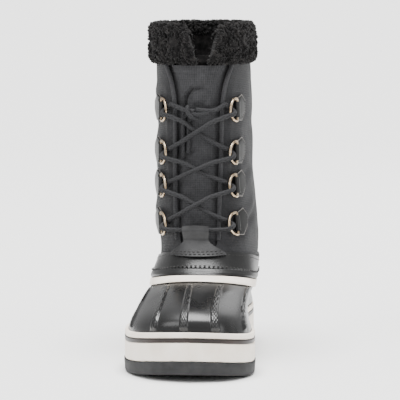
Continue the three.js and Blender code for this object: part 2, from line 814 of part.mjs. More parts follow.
// Lace rings: a D of wire held by a leather tab on each side of the throat.
const BAR_OUT = FIT + LEATHER + FIT + WIRE / 2;
function ringFrame(side, row) {
  const height = heightUp(RING_ROWS[row]);
  const turn = turnAt(side * BAR_REACH, height);
  const level = levelAt(turn, height);
  const centre = outFrom(turn, level, BAR_OUT + FIT);
  const out = upperNormal(turn, level);
  const up = upperPoint(turn, level + STEP).sub(upperPoint(turn, level - STEP)).normalize();
  const inward = upperPoint(turn - side * STEP, level).sub(upperPoint(turn, level)).normalize();
  return { centre, out, up, inward, height };
}

function makeRing(side, row) {
  const { centre, out, up, inward } = ringFrame(side, row);
  const half = (RING_HEIGHT - WIRE) / 2;
  const deep = RING_DEPTH - WIRE / 2;
  const place = (along, high) => {
    const lift = (along / deep) * 1.2;
    return centre
      .clone()
      .addScaledVector(inward, along)
      .addScaledVector(up, high)
      .addScaledVector(out, lift);
  };
  const points = [place(0, -half * 0.86), place(0, -half * 0.3), place(0, half * 0.3), place(0, half * 0.86)];
  points.push(place(deep * 0.1, half));
  for (let i = 1; i < 7; i += 1) {
    const angle = (i / 7) * Math.PI;
    points.push(place(deep * (0.16 + 0.84 * Math.sin(angle)), half * Math.cos(angle)));
  }
  points.push(place(deep * 0.1, -half));
  return solid(bar(points, WIRE / 2, 6, true));
}

function makeTab(side, row) {
  const { centre, up, height } = ringFrame(side, row);
  const columns = 4;
  const loops = [];
  for (let i = 0; i <= columns; i += 1) {
    const share = i / columns;
    const distance = side * (BAR_REACH + 1 + share * TAB_LENGTH);
    const half = (TAB_WIDTH / 2) * (share < 0.6 ? lerp(1, 1.25, share / 0.6) : lerp(1.25, 0.55, (share - 0.6) / 0.4));
    const middle = height + share * 2.5;
    const loop = [];
    for (const high of [-1, 1]) loop.push(onBoot(distance, middle + high * half, 2 * FIT + LEATHER));
    for (const high of [1, -1]) loop.push(onBoot(distance, middle + high * half, 2 * FIT));
    loops.push(loop);
  }
  const plate = solid(loft(loops, false, "sides"));
  const ends = (reach) => [-1, 1].map((s) => centre.clone().addScaledVector(up, s * reach));
  const hole = solid(bar(ends(TAB_WIDTH), WIRE / 2 + 1.4 * FIT, 6, false));
  const sleeve = solid(bar(ends(TAB_WIDTH * 0.39), WIRE / 2 + FIT + LEATHER, 7, false));
  return plate.add(sleeve).subtract(hole);
}

for (const [label, side] of [["inner", 1], ["outer", -1]]) {
  RING_ROWS.forEach((share, row) => {
    addPiece(`d_ring_${label}_${row + 1}`, makeRing(side, row), BRASS);
    addPiece(`ring_tab_${label}_${row + 1}`, makeTab(side, row), BLACK_LEATHER);
  });
}

// Lace: crossings between the ring rows, each an over strand joined to an under
// strand, and the bar behind the keeper. The knot and its tucked ends follow.
const LACE_SIDES = 6;
const LACE_OUT = LACE / 2 + 1.6;
const LACE_LOW = LACE / 2 + 1.4 * FIT;
const laceReach = BAR_REACH - RING_DEPTH - LACE / 2 - WIRE;
const ringShift = 0.2 * RING_HEIGHT;
const throughPoints = (rows) => rows.map(([distance, height, out]) => onBoot(distance, height, out));
function strand(side, fromHeight, toHeight, crossOut) {
  const steps = 6;
  const rows = [];
  for (let i = 0; i <= steps; i += 1) {
    const share = i / steps;
    const base = i === 0 || i === steps ? LACE_LOW : LACE_OUT;
    const out = base + crossOut * Math.sin(Math.PI * share);
    rows.push([side * laceReach * (1 - 2 * share), lerp(fromHeight, toHeight, share), out]);
  }
  return bar(throughPoints(rows), LACE / 2, LACE_SIDES, false);
}
for (const [name, high, low] of [["upper", 0, 1], ["middle", 1, 2], ["lower", 2, 3]]) {
  const top = heightUp(RING_ROWS[high]) - ringShift;
  const foot = heightUp(RING_ROWS[low]) + ringShift;
  const over = strand(-1, foot, top, LACE * 0.85);
  const under = strand(1, foot, top, 0);
  addPiece(`lace_crossing_${name}`, joined([over, under]), CORD);
}

const barHeight = heightUp(RING_ROWS[3]) - ringShift;
const barRows = [-1, -0.6, -0.2, 0.2, 0.6, 1].map((share) => [share * laceReach, barHeight, LACE_LOW]);
addPiece("lace_bar", solid(bar(throughPoints(barRows), LACE / 2, LACE_SIDES, false)), CORD);

const topHeight = heightUp(RING_ROWS[0]) + 0.1 * RING_HEIGHT;
function makeKnot() {
  const run = [
    [-laceReach - ringShift * 0.4, topHeight, LACE_LOW],
    [-12, topHeight - 1, LACE_OUT + 0.3],
    [KNOT_OFFSET - 4, KNOT_HEIGHT + 1.5, LACE_OUT + 1.2],
    [KNOT_OFFSET + 2, KNOT_HEIGHT + 2.6, LACE_OUT + 2.4],
    [KNOT_OFFSET + 9, KNOT_HEIGHT + 1.6, LACE_OUT + 1.6],
    [14, topHeight - 2, LACE_OUT + 0.4],
    [laceReach + ringShift * 0.4, topHeight, LACE_LOW],
  ];
  const lens = [
    [KNOT_OFFSET - 3, KNOT_HEIGHT - 1.4, LACE_OUT + 1.2],
    [KNOT_OFFSET + 1, KNOT_HEIGHT - 1.8, LACE_OUT + 2.6],
    [KNOT_OFFSET + 6, KNOT_HEIGHT - 1.6, LACE_OUT + 2.4],
    [KNOT_OFFSET + 12, KNOT_HEIGHT - 0.4, LACE_OUT + 1.2],
  ];
  const wrap = [
    [KNOT_OFFSET - 4.6, KNOT_HEIGHT + 4, LACE_OUT + 2.4],
    [KNOT_OFFSET - 4.2, KNOT_HEIGHT, LACE_OUT + 3.6],
    [KNOT_OFFSET - 1.5, KNOT_HEIGHT - 4, LACE_OUT + 3],
    [KNOT_OFFSET + 3, KNOT_HEIGHT - 6, LACE_OUT + 1.4],
  ];
  return joined([run, lens, wrap].map((rows) => bar(throughPoints(rows), LACE / 2, LACE_SIDES, false)));
}
addPiece("lace_knot", makeKnot(), CORD);

const TUCKED = -0.7;
for (const [name, distance, end] of [["outer", -13.2, 176], ["inner", -8.2, 181]]) {
  const rows = [
    [distance + 2, KNOT_HEIGHT - 3, TUCKED + 0.2],
    [distance + 0.3, KNOT_HEIGHT - 8, TUCKED],
    [distance, KNOT_HEIGHT - 15, TUCKED],
    [distance, lerp(KNOT_HEIGHT - 15, end, 0.5), TUCKED],
    [distance, end, TUCKED],
  ];
  addPiece(`lace_end_${name}`, solid(bar(throughPoints(rows), LACE / 2, 8, false)), CORD);
}

// The part's origin is the middle of the ground under its box.
const box = new THREE.Box3().setFromObject(boot, true);
boot.position.set(-(box.min.x + box.max.x) / 2, -(box.min.y + box.max.y) / 2, -box.min.z);

export default boot;
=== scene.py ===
import math
import random

import bpy
import numpy as np
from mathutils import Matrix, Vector


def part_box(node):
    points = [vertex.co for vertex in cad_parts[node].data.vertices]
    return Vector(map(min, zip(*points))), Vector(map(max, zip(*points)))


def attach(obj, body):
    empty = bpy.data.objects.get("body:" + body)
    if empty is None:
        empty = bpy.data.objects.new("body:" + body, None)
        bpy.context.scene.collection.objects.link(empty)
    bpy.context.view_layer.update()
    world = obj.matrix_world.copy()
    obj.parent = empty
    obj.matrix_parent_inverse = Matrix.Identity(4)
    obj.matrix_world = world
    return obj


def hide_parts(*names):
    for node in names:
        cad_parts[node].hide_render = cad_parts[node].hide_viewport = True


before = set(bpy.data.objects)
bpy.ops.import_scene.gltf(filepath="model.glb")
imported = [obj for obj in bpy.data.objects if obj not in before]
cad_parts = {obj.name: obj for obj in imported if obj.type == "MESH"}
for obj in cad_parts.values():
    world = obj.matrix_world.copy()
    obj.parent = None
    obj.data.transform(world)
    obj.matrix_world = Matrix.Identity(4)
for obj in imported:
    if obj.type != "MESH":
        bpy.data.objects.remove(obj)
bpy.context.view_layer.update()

MM = 0.001
random.seed(7)

# Sizes of the sole and the last
SOLE_LENGTH = 308.0
BALL_WIDTH = 114.0
OUTSOLE_HEIGHT = 11.0
MIDSOLE_HEIGHT = 16.0
STRIPE_HEIGHT = 3.0
BEAD_HEIGHT = 5.0
TOE_SPRING = 7.0
ARCH_RISE = 3.5
LUG_DEPTH = 4.0
LUG_WIDTH = 9.0
GROOVE_WIDTH = 5.0
BAND_THICKNESS = 3.2
INSOLE_THICKNESS = 4.0

LUG_RIM = 8.0
CHEVRON_SWEEP = 0.28

# Sizes of the upper
INSTEP_HEIGHT = 75.0
SHAFT_TOP = 258.0
SHAFT_WIDTH = 86.0
SHAFT_DEPTH = 146.0
SHELL_WALL = 2.6
SHAFT_WALL = 2.4
TONGUE_WALL = 2.0
THROAT_WIDTH = 42.0
RIB_WIDTH = 4.6
RIB_HEIGHT = 2.0
TRIM_THICKNESS = 1.9
TRIM_WIDTH = 6.5
PIPING_WIDTH = 2.4
LEATHER = 1.5

# Sizes of the collar, the fittings and the lace
CUFF_HEIGHT = 35.0
CUFF_THICKNESS = 12.0
CUFF_OUTWARD = 6.5
CUFF_GAP_BOTTOM = 8.0
CUFF_GAP_TOP = 27.0
CUFF_GAP_OFFSET = 4.0
KEEPER_WIDTH = 22.0
KNOT_HEIGHT = 216.0
KNOT_OFFSET = -3.0
RING_HEIGHT = 22.0
RING_DEPTH = 13.0
WIRE = 2.4
BAR_REACH = 37.0
TAB_LENGTH = 17.0
TAB_WIDTH = 18.0
LACE = 4.0
FIT = 0.3

SOLE_TOP = OUTSOLE_HEIGHT + MIDSOLE_HEIGHT + FIT
STRIPE_TOP = SOLE_TOP + FIT + STRIPE_HEIGHT
BEAD_TOP = STRIPE_TOP + FIT + BEAD_HEIGHT
TRIM_LEVEL = 1.0
TOP_LEVEL = 3.0
LEVEL_LENGTH = 50.0

# Plan outline of the sole: share of the length from the heel, then the lateral and
# the medial reach as shares of half the ball width.
SOLE_OUTLINE = [
    # along, lateral, medial
    (0.0, 0.0, 0.0),
    (0.012, 0.3, 0.3),
    (0.05, 0.54, 0.53),
    (0.12, 0.7, 0.69),
    (0.2, 0.755, 0.73),
    (0.31, 0.765, 0.69),
    (0.42, 0.81, 0.66),
    (0.53, 0.9, 0.71),
    (0.63, 0.98, 0.84),
    (0.72, 1.0, 0.96),
    (0.8, 0.95, 1.0),
    (0.87, 0.83, 0.97),
    (0.93, 0.62, 0.83),
    (0.975, 0.34, 0.6),
    (1.0, -0.12, 0.12),
]

# Rings of the foot: shares of the length and width inside the bands, and of the way
# from the sole to the instep. Rings of the leg: shares of the shaft's sizes.
FOOT_RINGS = [
    # level, fore, aft, lateral, medial, front, side, back, leg
    (0.0, 1.0, 1.0, 1.0, 1.0, 0.0, 0.0, 0.0, 0.0),
    (0.16, 1.0, 1.0, 1.0, 1.0, 0.17, 0.17, 0.17, 0.0),
    (0.36, 0.97, 0.99, 0.964, 0.959, 0.41, 0.31, 0.4, 0.06),
    (0.57, 0.87, 0.977, 0.9, 0.925, 0.63, 0.46, 0.64, 0.16),
    (0.79, 0.655, 0.962, 0.842, 0.93, 0.86, 0.61, 0.87, 0.34),
    (1.0, 0.409, 0.9455, 0.8, 0.96, 1.0, 0.74, 1.09, 0.55),
]
LEG_RINGS = [
    # level, fore, aft, lateral, medial, front, side, back, leg
    (1.14, 0.355, 0.968, 0.985, 1.2, 0.038, -0.022, 0.065, 0.68),
    (1.35, 0.272, 0.958, 0.86, 1.18, 0.12, 0.085, 0.14, 0.85),
    (1.65, 0.195, 0.95, 0.95, 1.12, 0.25, 0.24, 0.26, 0.96),
    (2.05, 0.125, 0.952, 0.985, 1.0, 0.46, 0.46, 0.465, 1.0),
    (2.5, 0.075, 0.967, 1.0, 0.97, 0.72, 0.72, 0.72, 1.0),
    (3.0, 0.05, 0.985, 1.02, 0.92, 1.0, 1.0, 1.0, 1.0),
    (3.4, 0.04, 1.0, 1.04, 0.84, 1.21, 1.21, 1.21, 1.0),
]

# Half the throat as a share of half its width, by share of the way up the shaft.
THROAT = [
    # rise, half
    (0.1, 0.86),
    (0.3, 0.93),
    (0.55, 1.0),
    (0.8, 1.04),
    (0.9, 1.2),
    (0.96, 1.45),
    (1.05, 2.0),
]
THROAT_FOOT = 0.16

# The shell's ribs: turns from the toe at the sole and at the trim.
RIBS = [(-0.165, -0.17), (-0.088, -0.084), (-0.012, -0.012), (0.062, 0.06), (0.135, 0.14)]
RING_ROWS = [0.78, 0.575, 0.417, 0.237]


def clamp(value, low, high):
    return np.minimum(np.maximum(value, low), high)


def mix(a, b, share):
    return a + (b - a) * share


def smooth(value, low, high):
    share = clamp((value - low) / (high - low), 0.0, 1.0)
    return share * share * (3 - 2 * share)


def column_at(keys, values, place):
    """The value between the rows of a table, on one smooth curve."""
    place = np.asarray(place, float)
    last = len(keys) - 1
    before = np.maximum(np.arange(last + 1) - 1, 0)
    after = np.minimum(np.arange(last + 1) + 1, last)
    slopes = (values[after] - values[before]) / (keys[after] - keys[before])
    i = clamp(np.searchsorted(keys, place, side="left") - 1, 0, last - 1).astype(int)
    span = keys[i + 1] - keys[i]
    s = (place - keys[i]) / span
    h = s * s * (3 - 2 * s)
    bend = s * (1 - s) * ((1 - s) * slopes[i] - s * slopes[i + 1]) * span
    inside = mix(values[i], values[i + 1], h) + bend
    below = values[0] + slopes[0] * (place - keys[0])
    above = values[last] + slopes[last] * (place - keys[last])
    return np.where(place < keys[0], below, np.where(place > keys[last], above, inside))


def ring_table():
    length = SOLE_LENGTH / 2 - BAND_THICKNESS - FIT
    width = BALL_WIDTH / 2 - BAND_THICKNESS - FIT
    shaft_back = 0.9455 * length
    rows = []
    for level, fore, aft, lateral, medial, front, side, back, leg in FOOT_RINGS:
        rises = [mix(SOLE_TOP, INSTEP_HEIGHT, share) for share in (front, side, back)]
        rows.append([level, -fore * length, aft * length, lateral * width, medial * width, *rises, leg])
    for level, fore, aft, lateral, medial, front, side, back, leg in LEG_RINGS:
        rises = [mix(INSTEP_HEIGHT, SHAFT_TOP, share) for share in (front, side, back)]
        fore_y = shaft_back - SHAFT_DEPTH - (fore - 0.05) * SHAFT_DEPTH
        aft_y = shaft_back + (aft - 0.97) * SHAFT_DEPTH
        reaches = [lateral * SHAFT_WIDTH / 2, medial * SHAFT_WIDTH / 2]
        rows.append([level, fore_y, aft_y, *reaches, *rises, leg])
    return np.array(rows)


RINGS = ring_table()


def spring_at(y):
    half = SOLE_LENGTH / 2
    start = 0.56 * half
    return TOE_SPRING * clamp((-y - start) / (half - start), 0.0, 1.0) ** 2


def arch_at(y):
    place = y / (SOLE_LENGTH / 2)
    return ARCH_RISE * smooth(place, 0.02, 0.16) * (1 - smooth(place, 0.34, 0.46))


FINE = 240


def outline_side(column, sign):
    """One side of the sole's outline from toe to heel, as evenly spaced points."""
    p = np.array([(sign * row[column], 1 - 2 * row[0]) for row in SOLE_OUTLINE])[::-1]
    n = len(p)
    t = np.linspace(0, n - 1, 4000)
    i = np.minimum(t.astype(int), n - 2)
    w = (t - i)[:, None]
    a, b, c, d = p[np.maximum(i - 1, 0)], p[i], p[i + 1], p[np.minimum(i + 2, n - 1)]
    v0, v1 = (c - a) / 2, (d - b) / 2
    curve = (2 * b - 2 * c + v0 + v1) * w**3 + (-3 * b + 3 * c - 2 * v0 - v1) * w**2 + v0 * w + b
    run = np.r_[0, np.cumsum(np.linalg.norm(np.diff(curve, axis=0), axis=1))]
    even = np.linspace(0, run[-1], FINE + 1)
    return np.c_[np.interp(even, run, curve[:, 0]), np.interp(even, run, curve[:, 1])]


MEDIAL_SIDE = outline_side(2, 1)
LATERAL_SIDE = outline_side(1, -1)


def sole_shape(turn):
    u = np.mod(np.asarray(turn, float), 1.0)
    medial = u <= 0.5
    place = np.where(medial, u * 2, (1 - u) * 2) * FINE
    steps = np.arange(FINE + 1)
    x, y = (
        np.where(
            medial,
            np.interp(place, steps, MEDIAL_SIDE[:, k]),
            np.interp(place, steps, LATERAL_SIDE[:, k]),
        )
        for k in (0, 1)
    )
    return x, y


def leg_shape(turn):
    angle = np.asarray(turn, float) * math.tau
    power = mix(0.84, 0.94, (1 - np.cos(angle)) / 2)
    x, y = np.sin(angle), -np.cos(angle)
    return np.sign(x) * np.abs(x) ** power, np.sign(y) * np.abs(y) ** power


def align():
    """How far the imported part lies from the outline's own middle."""
    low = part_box("outsole")[0]
    x, _ = sole_shape(np.arange(56) / 56)
    return np.array([low[0] / MM - x.min() * BALL_WIDTH / 2, low[1] / MM + SOLE_LENGTH / 2, 0.0])


SHIFT = align()


def upper_point(turn, level):
    """The upper's outer face: once round from the toe, and up from sole to collar."""
    turn, level = np.broadcast_arrays(np.asarray(turn, float), np.asarray(level, float))
    fore, aft, lateral, medial, front, side, back, leg = (
        column_at(RINGS[:, 0], RINGS[:, k], level) for k in range(1, 9)
    )
    leg = clamp(leg, 0.0, 1.0)
    foot_x, foot_y = sole_shape(turn)
    leg_x, leg_y = leg_shape(turn)
    shift = 0.12 * (1 - leg) * clamp(-foot_y, 0.0, 1.0) ** 2
    x = mix(foot_x, leg_x + shift, leg)
    y = mix(foot_y, leg_y, leg)
    reach = np.where(x > 0, medial, lateral)
    deep = (fore + aft) / 2 + y * (aft - fore) / 2
    rise = side + (back - front) / 2 * y + ((back + front) / 2 - side) * y * y
    return np.stack([x * reach, deep, rise + spring_at(deep)], axis=-1)


STEP = 0.002


def upper_normal(turn, level):
    around = upper_point(turn + STEP, level) - upper_point(turn - STEP, level)
    up = upper_point(turn, level + STEP) - upper_point(turn, level - STEP)
    n = np.cross(around, up)
    return n / np.linalg.norm(n, axis=-1, keepdims=True)


def out_from(turn, level, out):
    turn, level, out = np.broadcast_arrays(turn, level, out)
    return upper_point(turn, level) + upper_normal(turn, level) * out[..., None]


def level_at(turn, height):
    turn, height = np.broadcast_arrays(np.asarray(turn, float), np.asarray(height, float))
    low, high = np.zeros(turn.shape), np.full(turn.shape, 3.6)
    for _ in range(26):
        middle = (low + high) / 2
        below = upper_point(turn, middle)[..., 2] < height
        low, high = np.where(below, middle, low), np.where(below, high, middle)
    return (low + high) / 2


# Distance round the upper from the front, by height, kept as one lookup table.
LOOK_HEIGHTS = np.linspace(78, 300, 75)
LOOK_TURNS = np.linspace(-0.5, 0.5, 201)


def distance_table():
    t, h = np.meshgrid(LOOK_TURNS, LOOK_HEIGHTS)
    p = upper_point(t, level_at(t, h))
    lengths = np.linalg.norm(np.diff(p, axis=1), axis=2)
    run = np.concatenate([np.zeros((len(h), 1)), np.cumsum(lengths, axis=1)], 1)
    return run - run[:, [len(LOOK_TURNS) // 2]]


DISTANCES = distance_table()


def turn_at(distance, height):
    distance, height = np.broadcast_arrays(np.asarray(distance, float), np.asarray(height, float))
    flat_d, flat_h = distance.ravel(), height.ravel()
    pitch = LOOK_HEIGHTS[1] - LOOK_HEIGHTS[0]
    place = clamp((flat_h - LOOK_HEIGHTS[0]) / pitch, 0, len(LOOK_HEIGHTS) - 1.001)
    i = place.astype(int)
    w = place - i
    result = np.empty(len(flat_d))
    for row in np.unique(i):
        pick = i == row
        a = np.interp(flat_d[pick], DISTANCES[row], LOOK_TURNS)
        b = np.interp(flat_d[pick], DISTANCES[row + 1], LOOK_TURNS)
        result[pick] = mix(a, b, w[pick])
    return result.reshape(distance.shape)


def on_boot(distance, height, out):
    turn = turn_at(distance, height)
    return out_from(turn, level_at(turn, height), np.asarray(out, float))


def height_up(share):
    return mix(INSTEP_HEIGHT, SHAFT_TOP, share)


def throat_half(height):
    table = np.array(THROAT)
    rise = (height - INSTEP_HEIGHT) / (SHAFT_TOP - INSTEP_HEIGHT)
    return THROAT_WIDTH / 2 * column_at(table[:, 0], table[:, 1], rise)


# Camera: in front of the boot, a little to its inner side and above its cuff.
CAMERA_AWAY = 2.30
CAMERA_HEIGHT = 0.344
CAMERA_TURN = math.radians(5.5)
CAMERA_AIM = (0.0, 0.012, 0.1375)
FOCAL_PIXELS = 2620.0
FRAME_PIXELS = 400.0


def make_camera():
    data = bpy.data.cameras.new("camera")
    camera = bpy.data.objects.new("camera", data)
    bpy.context.scene.collection.objects.link(camera)
    data.sensor_width = 36.0
    data.lens = FOCAL_PIXELS / FRAME_PIXELS * data.sensor_width
    data.clip_end = 1000.0
    eye = Vector((CAMERA_AWAY * math.sin(CAMERA_TURN), -CAMERA_AWAY * math.cos(CAMERA_TURN), CAMERA_HEIGHT))
    aim = Vector(CAMERA_AIM)
    camera.location = eye
    camera.rotation_euler = (aim - eye).to_track_quat("-Z", "Y").to_euler()
    bpy.context.scene.camera = camera


make_camera()


# Materials
def linear(code):
    """An sRGB hex colour as linear RGBA."""
    parts = [int(code[i : i + 2], 16) / 255 for i in (0, 2, 4)]
    return [v / 12.92 if v <= 0.04045 else ((v + 0.055) / 1.055) ** 2.4 for v in parts] + [1.0]


def add(tree, kind, inputs=None, **settings):
    """A node with its settings, and its inputs set to values or linked to sockets."""
    n = tree.nodes.new(kind)
    for key, value in settings.items():
        setattr(n, key, value)
    for key, value in (inputs or {}).items():
        if isinstance(value, bpy.types.NodeSocket):
            tree.links.new(value, n.inputs[key])
        else:
            n.inputs[key].default_value = value
    return n


def material(name, roughness, metallic=0.0, **sockets):
    mat = bpy.data.materials.new(name)
    mat.use_nodes = True
    tree = mat.node_tree
    tree.nodes.clear()
    shader = add(tree, "ShaderNodeBsdfPrincipled", {"Roughness": roughness, "Metallic": metallic})
    for key, value in sockets.items():
        shader.inputs[key.replace("_", " ")].default_value = value
    out = tree.nodes.new("ShaderNodeOutputMaterial")
    tree.links.new(shader.outputs[0], out.inputs["Surface"])
    return mat, tree, shader


def colours(tree, factor, stops):
    ramp = add(tree, "ShaderNodeValToRGB", {"Fac": factor})
    while len(ramp.color_ramp.elements) < len(stops):
        ramp.color_ramp.elements.new(0.5)
    for element, (place, code) in zip(ramp.color_ramp.elements, stops):
        element.position = place
        element.color = linear(code)
    return ramp.outputs["Color"]


def bump(tree, shader, height, depth_mm, strength=1.0, normal=None):
    inputs = {"Height": height, "Distance": depth_mm * MM, "Strength": strength}
    if normal is not None:
        inputs["Normal"] = normal
    n = add(tree, "ShaderNodeBump", inputs)
    tree.links.new(n.outputs["Normal"], shader.inputs["Normal"])
    return n.outputs["Normal"]


def per_metre(size_mm):
    return 1000.0 / size_mm


def cream_rubber():
    """Vulcanised cream rubber tape: satin, faintly mottled, a little dirt in it."""
    mat, tree, shader = material("cream_rubber_tape", 0.5)
    place = add(tree, "ShaderNodeTexCoord").outputs["Object"]
    mottle = add(tree, "ShaderNodeTexNoise", {"Vector": place, "Scale": per_metre(22), "Detail": 5.0})
    colour = colours(tree, mottle.outputs["Fac"], [(0.3, "e8dccd"), (0.55, "f4eadd"), (0.8, "f8f1e8")])
    tree.links.new(colour, shader.inputs["Base Color"])
    grain = add(tree, "ShaderNodeTexNoise", {"Vector": place, "Scale": per_metre(1.1), "Detail": 3.0})
    bump(tree, shader, grain.outputs["Fac"], 0.06, 0.7)
    return mat


def stripe_rubber():
    """Dark brown glossy painted line between the two cream tapes."""
    mat, tree, shader = material("glossy_brown_stripe", 0.38, Specular_IOR_Level=0.3)
    place = add(tree, "ShaderNodeTexCoord").outputs["Object"]
    mottle = add(tree, "ShaderNodeTexNoise", {"Vector": place, "Scale": per_metre(14), "Detail": 4.0})
    colour = colours(tree, mottle.outputs["Fac"], [(0.3, "1a1311"), (0.7, "2b211e")])
    tree.links.new(colour, shader.inputs["Base Color"])
    bump(tree, shader, mottle.outputs["Fac"], 0.15, 0.5)
    return mat


def outsole_rubber():
    """Moulded grey rubber: matt, fine sparkle texture, scuffed a little lighter."""
    mat, tree, shader = material("moulded_grey_rubber", 0.7, Specular_IOR_Level=0.35)
    place = add(tree, "ShaderNodeTexCoord").outputs["Object"]
    scuff = add(tree, "ShaderNodeTexNoise", {"Vector": place, "Scale": per_metre(9), "Detail": 6.0})
    colour = colours(tree, scuff.outputs["Fac"], [(0.35, "1c1c1d"), (0.7, "2a2a2b")])
    tree.links.new(colour, shader.inputs["Base Color"])
    grain = add(tree, "ShaderNodeTexNoise", {"Vector": place, "Scale": per_metre(0.9), "Detail": 2.0})
    bump(tree, shader, grain.outputs["Fac"], 0.12, 0.8)
    return mat


def shell_rubber():
    """Black moulded rubber: semi-gloss, with ribs knurled in small diamonds."""
    mat, tree, shader = material("black_shell_rubber", 0.34, Specular_IOR_Level=0.5)
    place = add(tree, "ShaderNodeTexCoord").outputs["Object"]
    cloud = add(tree, "ShaderNodeTexNoise", {"Vector": place, "Scale": per_metre(30), "Detail": 5.0})
    colour = colours(tree, cloud.outputs["Fac"], [(0.3, "050505"), (0.75, "0a0a0b")])
    tree.links.new(colour, shader.inputs["Base Color"])
    rough = add(tree, "ShaderNodeMapRange", {"Value": cloud.outputs["Fac"], "To Min": 0.2, "To Max": 0.36})
    tree.links.new(rough.outputs["Result"], shader.inputs["Roughness"])
    uv = add(tree, "ShaderNodeUVMap").outputs["UV"]
    waves = []
    for turn in (0.85, -0.85):
        turned = add(tree, "ShaderNodeMapping", {"Vector": uv, "Rotation": (0, 0, turn)})
        wave = add(tree, "ShaderNodeTexWave", {"Vector": turned.outputs[0], "Scale": per_metre(2.4) / 20 * math.pi})
        waves.append(wave.outputs["Fac"])
    both = add(tree, "ShaderNodeMath", {0: waves[0], 1: waves[1]}, operation="MULTIPLY")
    rib = add(tree, "ShaderNodeAttribute", attribute_name="relief").outputs["Fac"]
    knurl = add(tree, "ShaderNodeMath", {0: both.outputs[0], 1: rib}, operation="MULTIPLY")
    first = bump(tree, shader, knurl.outputs[0], 0.4, 0.6)
    grain = add(tree, "ShaderNodeTexNoise", {"Vector": place, "Scale": per_metre(1.3), "Detail": 3.0})
    bump(tree, shader, grain.outputs["Fac"], 0.07, 0.6, first)
    return mat


def nylon(name, dark, light):
    """Heavy woven nylon: a plain weave of thick yarns with a slight sheen."""
    mat, tree, shader = material(name, 0.8, Specular_IOR_Level=0.22, Sheen_Weight=0.05)
    uv = add(tree, "ShaderNodeUVMap").outputs["UV"]
    yarn = 0.8
    parts = add(tree, "ShaderNodeSeparateXYZ", {"Vector": uv})
    threads = []
    for axis in ("X", "Y"):
        scaled = add(tree, "ShaderNodeMath", {0: parts.outputs[axis], 1: per_metre(yarn)}, operation="MULTIPLY")
        folded = add(tree, "ShaderNodeMath", {0: scaled.outputs[0], 1: 1.0}, operation="PINGPONG")
        threads.append(folded.outputs[0])
    check = add(tree, "ShaderNodeTexChecker", {"Vector": uv, "Scale": per_metre(yarn)})
    over = add(
        tree,
        "ShaderNodeMix",
        {"Factor": check.outputs["Fac"], 2: threads[0], 3: threads[1]},
    )
    place = add(tree, "ShaderNodeTexCoord").outputs["Object"]
    slub = add(tree, "ShaderNodeTexNoise", {"Vector": place, "Scale": per_metre(2.2), "Detail": 4.0})
    wash = add(tree, "ShaderNodeTexNoise", {"Vector": place, "Scale": per_metre(35), "Detail": 3.0})
    tone = add(tree, "ShaderNodeMath", {0: slub.outputs["Fac"], 1: over.outputs[0]}, operation="ADD")
    tone = add(tree, "ShaderNodeMath", {0: tone.outputs[0], 1: wash.outputs["Fac"]}, operation="ADD")
    tone = add(tree, "ShaderNodeMath", {0: tone.outputs[0], 1: 0.42}, operation="MULTIPLY")
    colour = colours(tree, tone.outputs[0], [(0.3, dark), (0.8, light)])
    tree.links.new(colour, shader.inputs["Base Color"])
    first = bump(tree, shader, over.outputs[0], 0.3, 0.55)
    bump(tree, shader, slub.outputs["Fac"], 0.35, 0.5, first)
    return mat


def leather(name, dark, light, roughness):
    """Black full-grain leather: satin, pebbled in small cells, greyer where it is rubbed."""
    mat, tree, shader = material(name, roughness, Specular_IOR_Level=0.4)
    place = add(tree, "ShaderNodeTexCoord").outputs["Object"]
    cells = add(tree, "ShaderNodeTexVoronoi", {"Vector": place, "Scale": per_metre(1.5)})
    rub = add(tree, "ShaderNodeTexNoise", {"Vector": place, "Scale": per_metre(12), "Detail": 6.0})
    colour = colours(tree, rub.outputs["Fac"], [(0.35, dark), (0.72, light)])
    tree.links.new(colour, shader.inputs["Base Color"])
    rough = add(
        tree,
        "ShaderNodeMapRange",
        {"Value": rub.outputs["Fac"], "To Min": roughness - 0.08, "To Max": roughness + 0.1},
    )
    tree.links.new(rough.outputs["Result"], shader.inputs["Roughness"])
    first = bump(tree, shader, cells.outputs["Distance"], 0.12, 0.45)
    bump(tree, shader, rub.outputs["Fac"], 0.3, 0.35, first)
    return mat


def pile():
    """Curled fleece: matt dark wool, its curls a little lighter at their tips."""
    mat, tree, shader = material("charcoal_pile", 0.95, Specular_IOR_Level=0.1, Sheen_Weight=0.04)
    place = add(tree, "ShaderNodeTexCoord").outputs["Object"]
    curl = add(tree, "ShaderNodeTexNoise", {"Vector": place, "Scale": per_metre(5), "Detail": 6.0})
    colour = colours(tree, curl.outputs["Fac"], [(0.3, "0c0c0c"), (0.5, "1b1a1a"), (0.75, "2e2c2b")])
    tree.links.new(colour, shader.inputs["Base Color"])
    fibre = add(tree, "ShaderNodeTexNoise", {"Vector": place, "Scale": per_metre(0.7), "Detail": 4.0})
    bump(tree, shader, fibre.outputs["Fac"], 0.5, 0.8)
    return mat


def felt():
    """Pressed grey wool felt: matt, with short random fibres."""
    mat, tree, shader = material("grey_wool_felt", 0.95, Specular_IOR_Level=0.15)
    place = add(tree, "ShaderNodeTexCoord").outputs["Object"]
    fibre = add(tree, "ShaderNodeTexNoise", {"Vector": place, "Scale": per_metre(1.4), "Detail": 8.0})
    colour = colours(tree, fibre.outputs["Fac"], [(0.35, "4c4a48"), (0.7, "77746f")])
    tree.links.new(colour, shader.inputs["Base Color"])
    bump(tree, shader, fibre.outputs["Fac"], 0.5, 0.7)
    return mat


